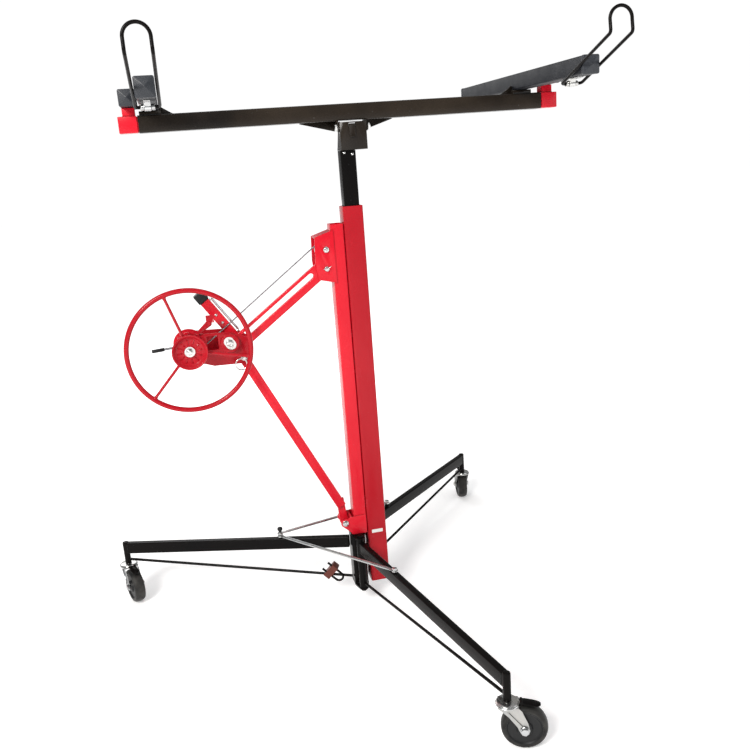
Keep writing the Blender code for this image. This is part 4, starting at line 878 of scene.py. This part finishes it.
def make_winch():
    # The winch frame, pawl, ratchet, hand wheel and brake cup take the darker red copy: painted shade.
    keep("winch_frame", "red_gloss_painted_shade", 0.0011, 3)
    keep("ratchet_pawl", "red_gloss_painted_shade", 0.0008, 2)
    px, pz = -0.402, 0.872
    put(join("pawl_pivot", rod("pin", (px, -0.037, pz), (px, -0.028, pz), 0.003),
             rod("head", (px, -0.0385, pz), (px, -0.0352, pz), 0.0052, 24)), "pawl", "red_gloss_painted_shade")
    x, z = IDLER_AXIS
    lean = along_xz(-58)
    over = Vector(ALONG_Y).cross(lean)
    cap = arc(0.005, 0, 0.0128, -90, 90, 14) + arc(-0.005, 0, 0.0128, 90, 270, 14)
    low, high = Vector((x, -0.0522, z)), Vector((x, -0.047, z))
    idler = [rod("shaft", (x, -0.049, z), (x, 0.033, z), 0.0098, 28),
             bevel(plate("cap_plate", cap, [], (x, -0.0452, z), lean, over, -0.0022), 0.0006),
             hexagon("head", low - lean * 0.004, high - lean * 0.004, 0.0062),
             rod("stud", Vector((x, -0.0505, z)) + lean * 0.0088, high + lean * 0.0088, 0.0034, 20),
             hexagon("nut", (x, PLATE_OUT + 0.0003, z), (x, 0.035, z), 0.0148)]
    put(join("idler_bolt", *idler), "frame", "bright_zinc", "idler_shaft")
    x, z = DRUM_AXIS
    ring = [(0.019, -0.0558), (0.0244, -0.0558), (0.025, -0.0552), (0.025, -0.0498), (0.0244, -0.0492),
            (0.019, -0.0492)]
    put(lathe("lever_ring", ring, (x, 0, z), ALONG_Y, 56, closed=True), "lever", "turned_steel",
        "brake_lever")
    start, end = Vector((x - 0.0235, -0.0525, z + 0.011)), Vector((-0.551, -0.0525, 0.8203))
    put(wire("lever_arm", [start, end + (start - end) * 0.05], 0.003), "lever", "turned_steel")
    way = end - start
    grip = [(0, 0), (0.0038, 0), (0.0046, 0.001), (0.0046, way.length * 0.42), (0.004, way.length * 0.448),
            (0, way.length * 0.45)]
    put(lathe("lever_grip", grip, start + way * 0.55, way, 24), "lever", "dark_plastic")
    x, z = BRACE_PIN
    ring = [(a, -0.044, b) for a, b in circle(x - 0.01, z - 0.0145, 0.015, 40)]
    collar = [(0, -0.034), (0.0078, -0.034), (0.0085, -0.0332), (0.0085, -0.0288), (0, -0.0288)]
    pin = [rod("pin", (x, -0.048, z), (x, 0.035, z), 0.005, 24), lathe("collar", collar, (x, 0, z), ALONG_Y,
                                                                       32)]
    put(join("quick_pin", *pin, wire("ring", ring, 0.0019, cyclic=True)), "pin", "bright_zinc", "ring_pin")
    make_handle()


def make_handle():
    base, top = Vector((-0.3382, 0.014, 0.824)), Vector((-0.405, 0.014, 0.9232))
    along = (top - base).normalized()
    side = Vector(ALONG_Y).cross(along)
    keep("handle_tube", "red_gloss", 0.0022, 4)
    head = [(0, 0.0018), (0.0022, 0.0015), (0.0036, 0.0006), (0.004, -0.0004), (0, -0.0004)]
    rivets = [lathe("rivet", head, base.lerp(top, share) - Vector((0, 0.0111, 0)), (0, -1, 0), 24)
              for share in (0.4, 0.62)]
    put(join("handle_rivets", *rivets), "frame", "bright_zinc")
    keep("handle_cap", "dark_plastic", 0.003, 4)
    near, far = side * 0.0128, side * 0.019
    low, high = base + along * 0.006, top - along * 0.006
    guide = wire("guide_bar", [high + near, high + far, low + far, low + near], 0.003, bend=0.004)
    put(guide, "frame", "bright_zinc", "guide_rod")


# ---------------------------------------------------------------- cradle
HEAD_X, TILT_Y, TILT_Z = 0.0155, -0.02, 1.3315
SADDLE_HALF = 0.0345
BEAM_LEFT, BEAM_RIGHT, BEAM_Z, BEAM_SIZE = -0.508, 0.536, 1.3695, 0.041
CROSS_ARM_X, CROSS_ARM_Z, CROSS_ARM_HALF = (-0.477, 0.482), 1.419, 0.388
T_TUBE_Z, T_TUBE_HALF = 1.428, 0.052
HOOK_PIVOT, HOOK_BEND = (-0.3, 1.387), (-0.522, 1.466)     # y, z
HOOK_R, HOOK_HALF, HOOK_TOP = 0.0036, 0.025, 1.517
GUSSET_TIPS = (-0.114, 0.1305)


def make_beam():
    half = BEAM_SIZE / 2
    under, top = BEAM_Z - half, BEAM_Z + half
    shapes = [tube("beam_run", (BEAM_LEFT, 0, BEAM_Z), (BEAM_RIGHT, 0, BEAM_Z), BEAM_SIZE, BEAM_SIZE, 0.002,
                   0.0045)]
    for sign, tip in zip((-1, 1), GUSSET_TIPS):
        near = HEAD_X + sign * (SADDLE_HALF + 0.001)
        outline = [(0.019, under + 0.001), (-0.019, under + 0.001)] + arc(TILT_Y, TILT_Z, 0.0105, 190, 350,
                                                                          16)
        ear = plate("ear", outline, [circle(TILT_Y, TILT_Z, 0.0056)], (min(near, near + sign * 0.003), 0, 0),
                    ALONG_Y, UP, 0.003)
        shapes.append(bevel(ear, 0.0006))
        outline = [(near + sign * 0.0015, under + 0.001), (near + sign * 0.0015, under - 0.024),
                   (near + sign * 0.006, under - 0.024), (tip, under - 0.0015), (tip, under + 0.001)]
        shapes.append(bevel(plate_xz("gusset", outline, [], 0.014, 0.017), 0.0006))
    for x, sign in zip(CROSS_ARM_X, (1, -1)):
        seat = block("seat", (x - 0.026, -0.02, top - 0.001), (x + 0.026, 0.02, CROSS_ARM_Z - 0.0203))
        shapes.append(bevel(seat, 0.0012))
        outline = [(x + sign * a, top + b) for a, b in ((0.0205, -0.001), (0.0205, 0.02), (0.025, 0.02),
                                                        (0.03, 0.015), (0.056, -0.001))]
        shapes.append(bevel(plate_xz("arm_gusset", outline, [], -0.002, 0.002), 0.0005))
    # The beam's black carries a painted brown sheen (painted reflection).
    put(join("beam_tube", *shapes), "cradle", "black_gloss_painted_sheen", "beam")
    for x, sign, label in zip(CROSS_ARM_X, (1, -1), ("left", "right")):
        for part, x0, x1, y, radius in (("_gusset_weld", x + sign * 0.026, x + sign * 0.054, -0.003, 0.0012),
                                        ("_seat_weld", x - 0.024, x + 0.024, -0.0203, 0.0013)):
            weld_bead(label + part, (x0, y, top), (x1, y, top), radius, "cradle", "weld_black")
    keep("saddle_bracket", "black_gloss_painted_sheen", 0.0008, 2)
    keep("tilt_latch", "black_gloss_painted_sheen", 0.0004, 2)
    reach = SADDLE_HALF + 0.0016 + 0.0035
    pivot = Vector((HEAD_X, TILT_Y, TILT_Z))
    side = Vector((1, 0, 0))
    bolt = [rod("shank", pivot - side * reach, pivot + side * (reach + 0.008), 0.005, 24)]
    for way in (-side, side):
        bolt.append(rod("washer", pivot + way * (reach - 0.0003), pivot + way * (reach + 0.0009), 0.0098, 28))
        bolt.append(hexagon("head", pivot + way * (reach + 0.0009), pivot + way * (reach + 0.0061), 0.008))
    put(join("pivot_bolt", *bolt), "inner_mast_body", "bright_zinc", "tilt_bolt")


def pyramid_cap(name, x, face_y, sign, z, size, body):
    """Square plastic cap with a rounded rim and a low pyramid."""
    rows = []
    for half, out, radius in ((size / 2, -0.0012, 0.004), (size / 2, 0.0046, 0.004),
                              (size / 2 - 0.001, 0.0058, 0.0036), (size / 2 - 0.0022, 0.006, 0.002),
                              (0.001, 0.0142, 0.0009), (0.0004, 0.0144, 0.0003)):
        loop = rounded_loop(half * 2, half * 2, radius, 3)
        rows.append([Vector((x + a, face_y + sign * out, z + b)) for a, b in loop])
    put(loft(name, rows), body, "moulded_plastic")


def torsion_spring(name, centre_x, direction, body):
    """Spring wound on the hook's hinge pin, with a leg under the arm."""
    y, z = HOOK_PIVOT
    points = []
    for i in range(4 * 14 + 1):
        a = 2 * math.pi * i / 14
        points.append((centre_x + direction * 0.0017 * i / 14, y + 0.0056 * math.cos(a),
                       z + 0.0056 * math.sin(a)))
    points.append((points[-1][0], y + 0.025, z + 0.009))
    put(wire(name, points, 0.0009, resolution=2), body, "bright_zinc")


def make_cross_arms():
    y, z = HOOK_PIVOT
    under = CROSS_ARM_Z - 0.02
    for label, x in zip(("left", "right"), CROSS_ARM_X):
        run = tube(label + "_arm_tube", (x, -CROSS_ARM_HALF, CROSS_ARM_Z), (x, CROSS_ARM_HALF, CROSS_ARM_Z),
                   0.04, 0.04, 0.002, 0.0042)
        put(run, "cradle", "dark_grey_powder", label + "_cross_arm")
        for sign, end in ((-1, "near"), (1, "far")):
            pyramid_cap(label + "_arm_cap_" + end, x, sign * CROSS_ARM_HALF, sign, CROSS_ARM_Z, 0.0412,
                        "cradle")
        outline = [(y + 0.03, under), (y - 0.045, under), (y - 0.045, under - 0.003),
                   (y - 0.012, under - 0.003)]
        outline += arc(y, z, 0.0075, 160, 380, 20) + [(y + 0.012, under - 0.0035), (y + 0.03, under - 0.0035)]
        hinge = plate(label + "_hook_bracket", outline, [circle(y, z, HOOK_R + 0.0004)], (x - 0.007, 0, 0),
                      ALONG_Y, UP, 0.014)
        put(bevel(hinge, 0.0008), "cradle", "bright_zinc")
        head = [(0, 0.0018), (0.0026, 0.0016), (0.0038, 0.0006), (0.0038, -0.0002), (0, -0.0002)]
        screws = [lathe("screw", head, (x, screw_y, under - 0.0033), (0, 0, -1), 20)
                  for screw_y in (y + 0.022, y - 0.036)]
        put(join(label + "_bracket_screws", *screws), "cradle", "bright_zinc")
        torsion_spring(label + "_spring_a", x - 0.0078, -1, "cradle")
        torsion_spring(label + "_spring_b", x + 0.0078, 1, "cradle")
        make_hook(label, x)


def make_hook(label, x):
    """Bent round bar: two legs from the hinge pin, up to a loop that stops the panel's edge."""
    py, pz = HOOK_PIVOT
    by, bz = HOOK_BEND
    legs = [[(x + sign * 0.008, py, pz), (x + sign * HOOK_HALF, py, pz), (x + sign * HOOK_HALF, by, bz)]
            for sign in (-1, 1)]
    turns = [math.radians(a) for a in range(180, -1, -6)]
    top = [(x + HOOK_HALF * math.cos(a), by + 0.004, HOOK_TOP - HOOK_HALF + HOOK_HALF * math.sin(a))
           for a in turns]
    rise, fall = (smooth_path([*leg, end], 0.009, 8)[:-1] for leg, end in zip(legs, (top[0], top[-1])))
    hook = wire(label + "_hook_bar", rise + top + fall[::-1], HOOK_R, resolution=5)
    pin = rod("pin", (x - 0.012, py, pz), (x + 0.012, py, pz), HOOK_R - 0.0002, 20)
    put(join(label + "_panel_hook", hook, pin), label + "_panel_hook", "black_gloss", label + "_hook")


def make_extensions():
    """Outriggers with their short cross tubes."""
    for label, end, sign in (("left", BEAM_LEFT, -1), ("right", BEAM_RIGHT, 1)):
        body = label + "_extension"
        keep(label + "_outrigger", "red_gloss", 0.0018, 3)
        x = end + sign * 0.017
        run = tube(label + "_cross_tube", (x, -T_TUBE_HALF, T_TUBE_Z), (x, T_TUBE_HALF, T_TUBE_Z), 0.038,
                   0.038,
                   0.002, 0.004)
        put(run, body, "dark_grey_powder", label + "_t_tube")
        for side, where in ((-1, "near"), (1, "far")):
            pyramid_cap(label + "_cap_" + where, x, side * T_TUBE_HALF, side, T_TUBE_Z, 0.0394, body)
        base = BEAM_Z + 0.0198
        n0, n1 = end + sign * 0.005, end + sign * 0.033
        weld_bead(label + "_neck_weld", (n0, -0.0155, base), (n1, -0.0155, base), 0.0014, body, "weld_red")
        knob = [(0, 0), (0.003, 0), (0.003, 0.0022), (0.0058, 0.0028), (0.0062, 0.0042), (0.0058, 0.0068),
                (0.004, 0.0076), (0, 0.0077)]
        lock = lathe(label + "_lock_knob", knob, (end - sign * 0.03, 0.0206, BEAM_Z), ALONG_Y, 28)
        put(lock, "cradle", "moulded_plastic")


make_camera()
make_studio()
make_materials()
for caster_name, trail in (("front", -20.0), ("rear", 81.0), ("winch", -69.0)):
    make_caster(caster_name, trail)
make_base()
mast_and_post()
make_frame()
make_winch()
make_rotor()
make_beam()
make_cross_arms()
make_extensions()
bpy.context.view_layer.update()
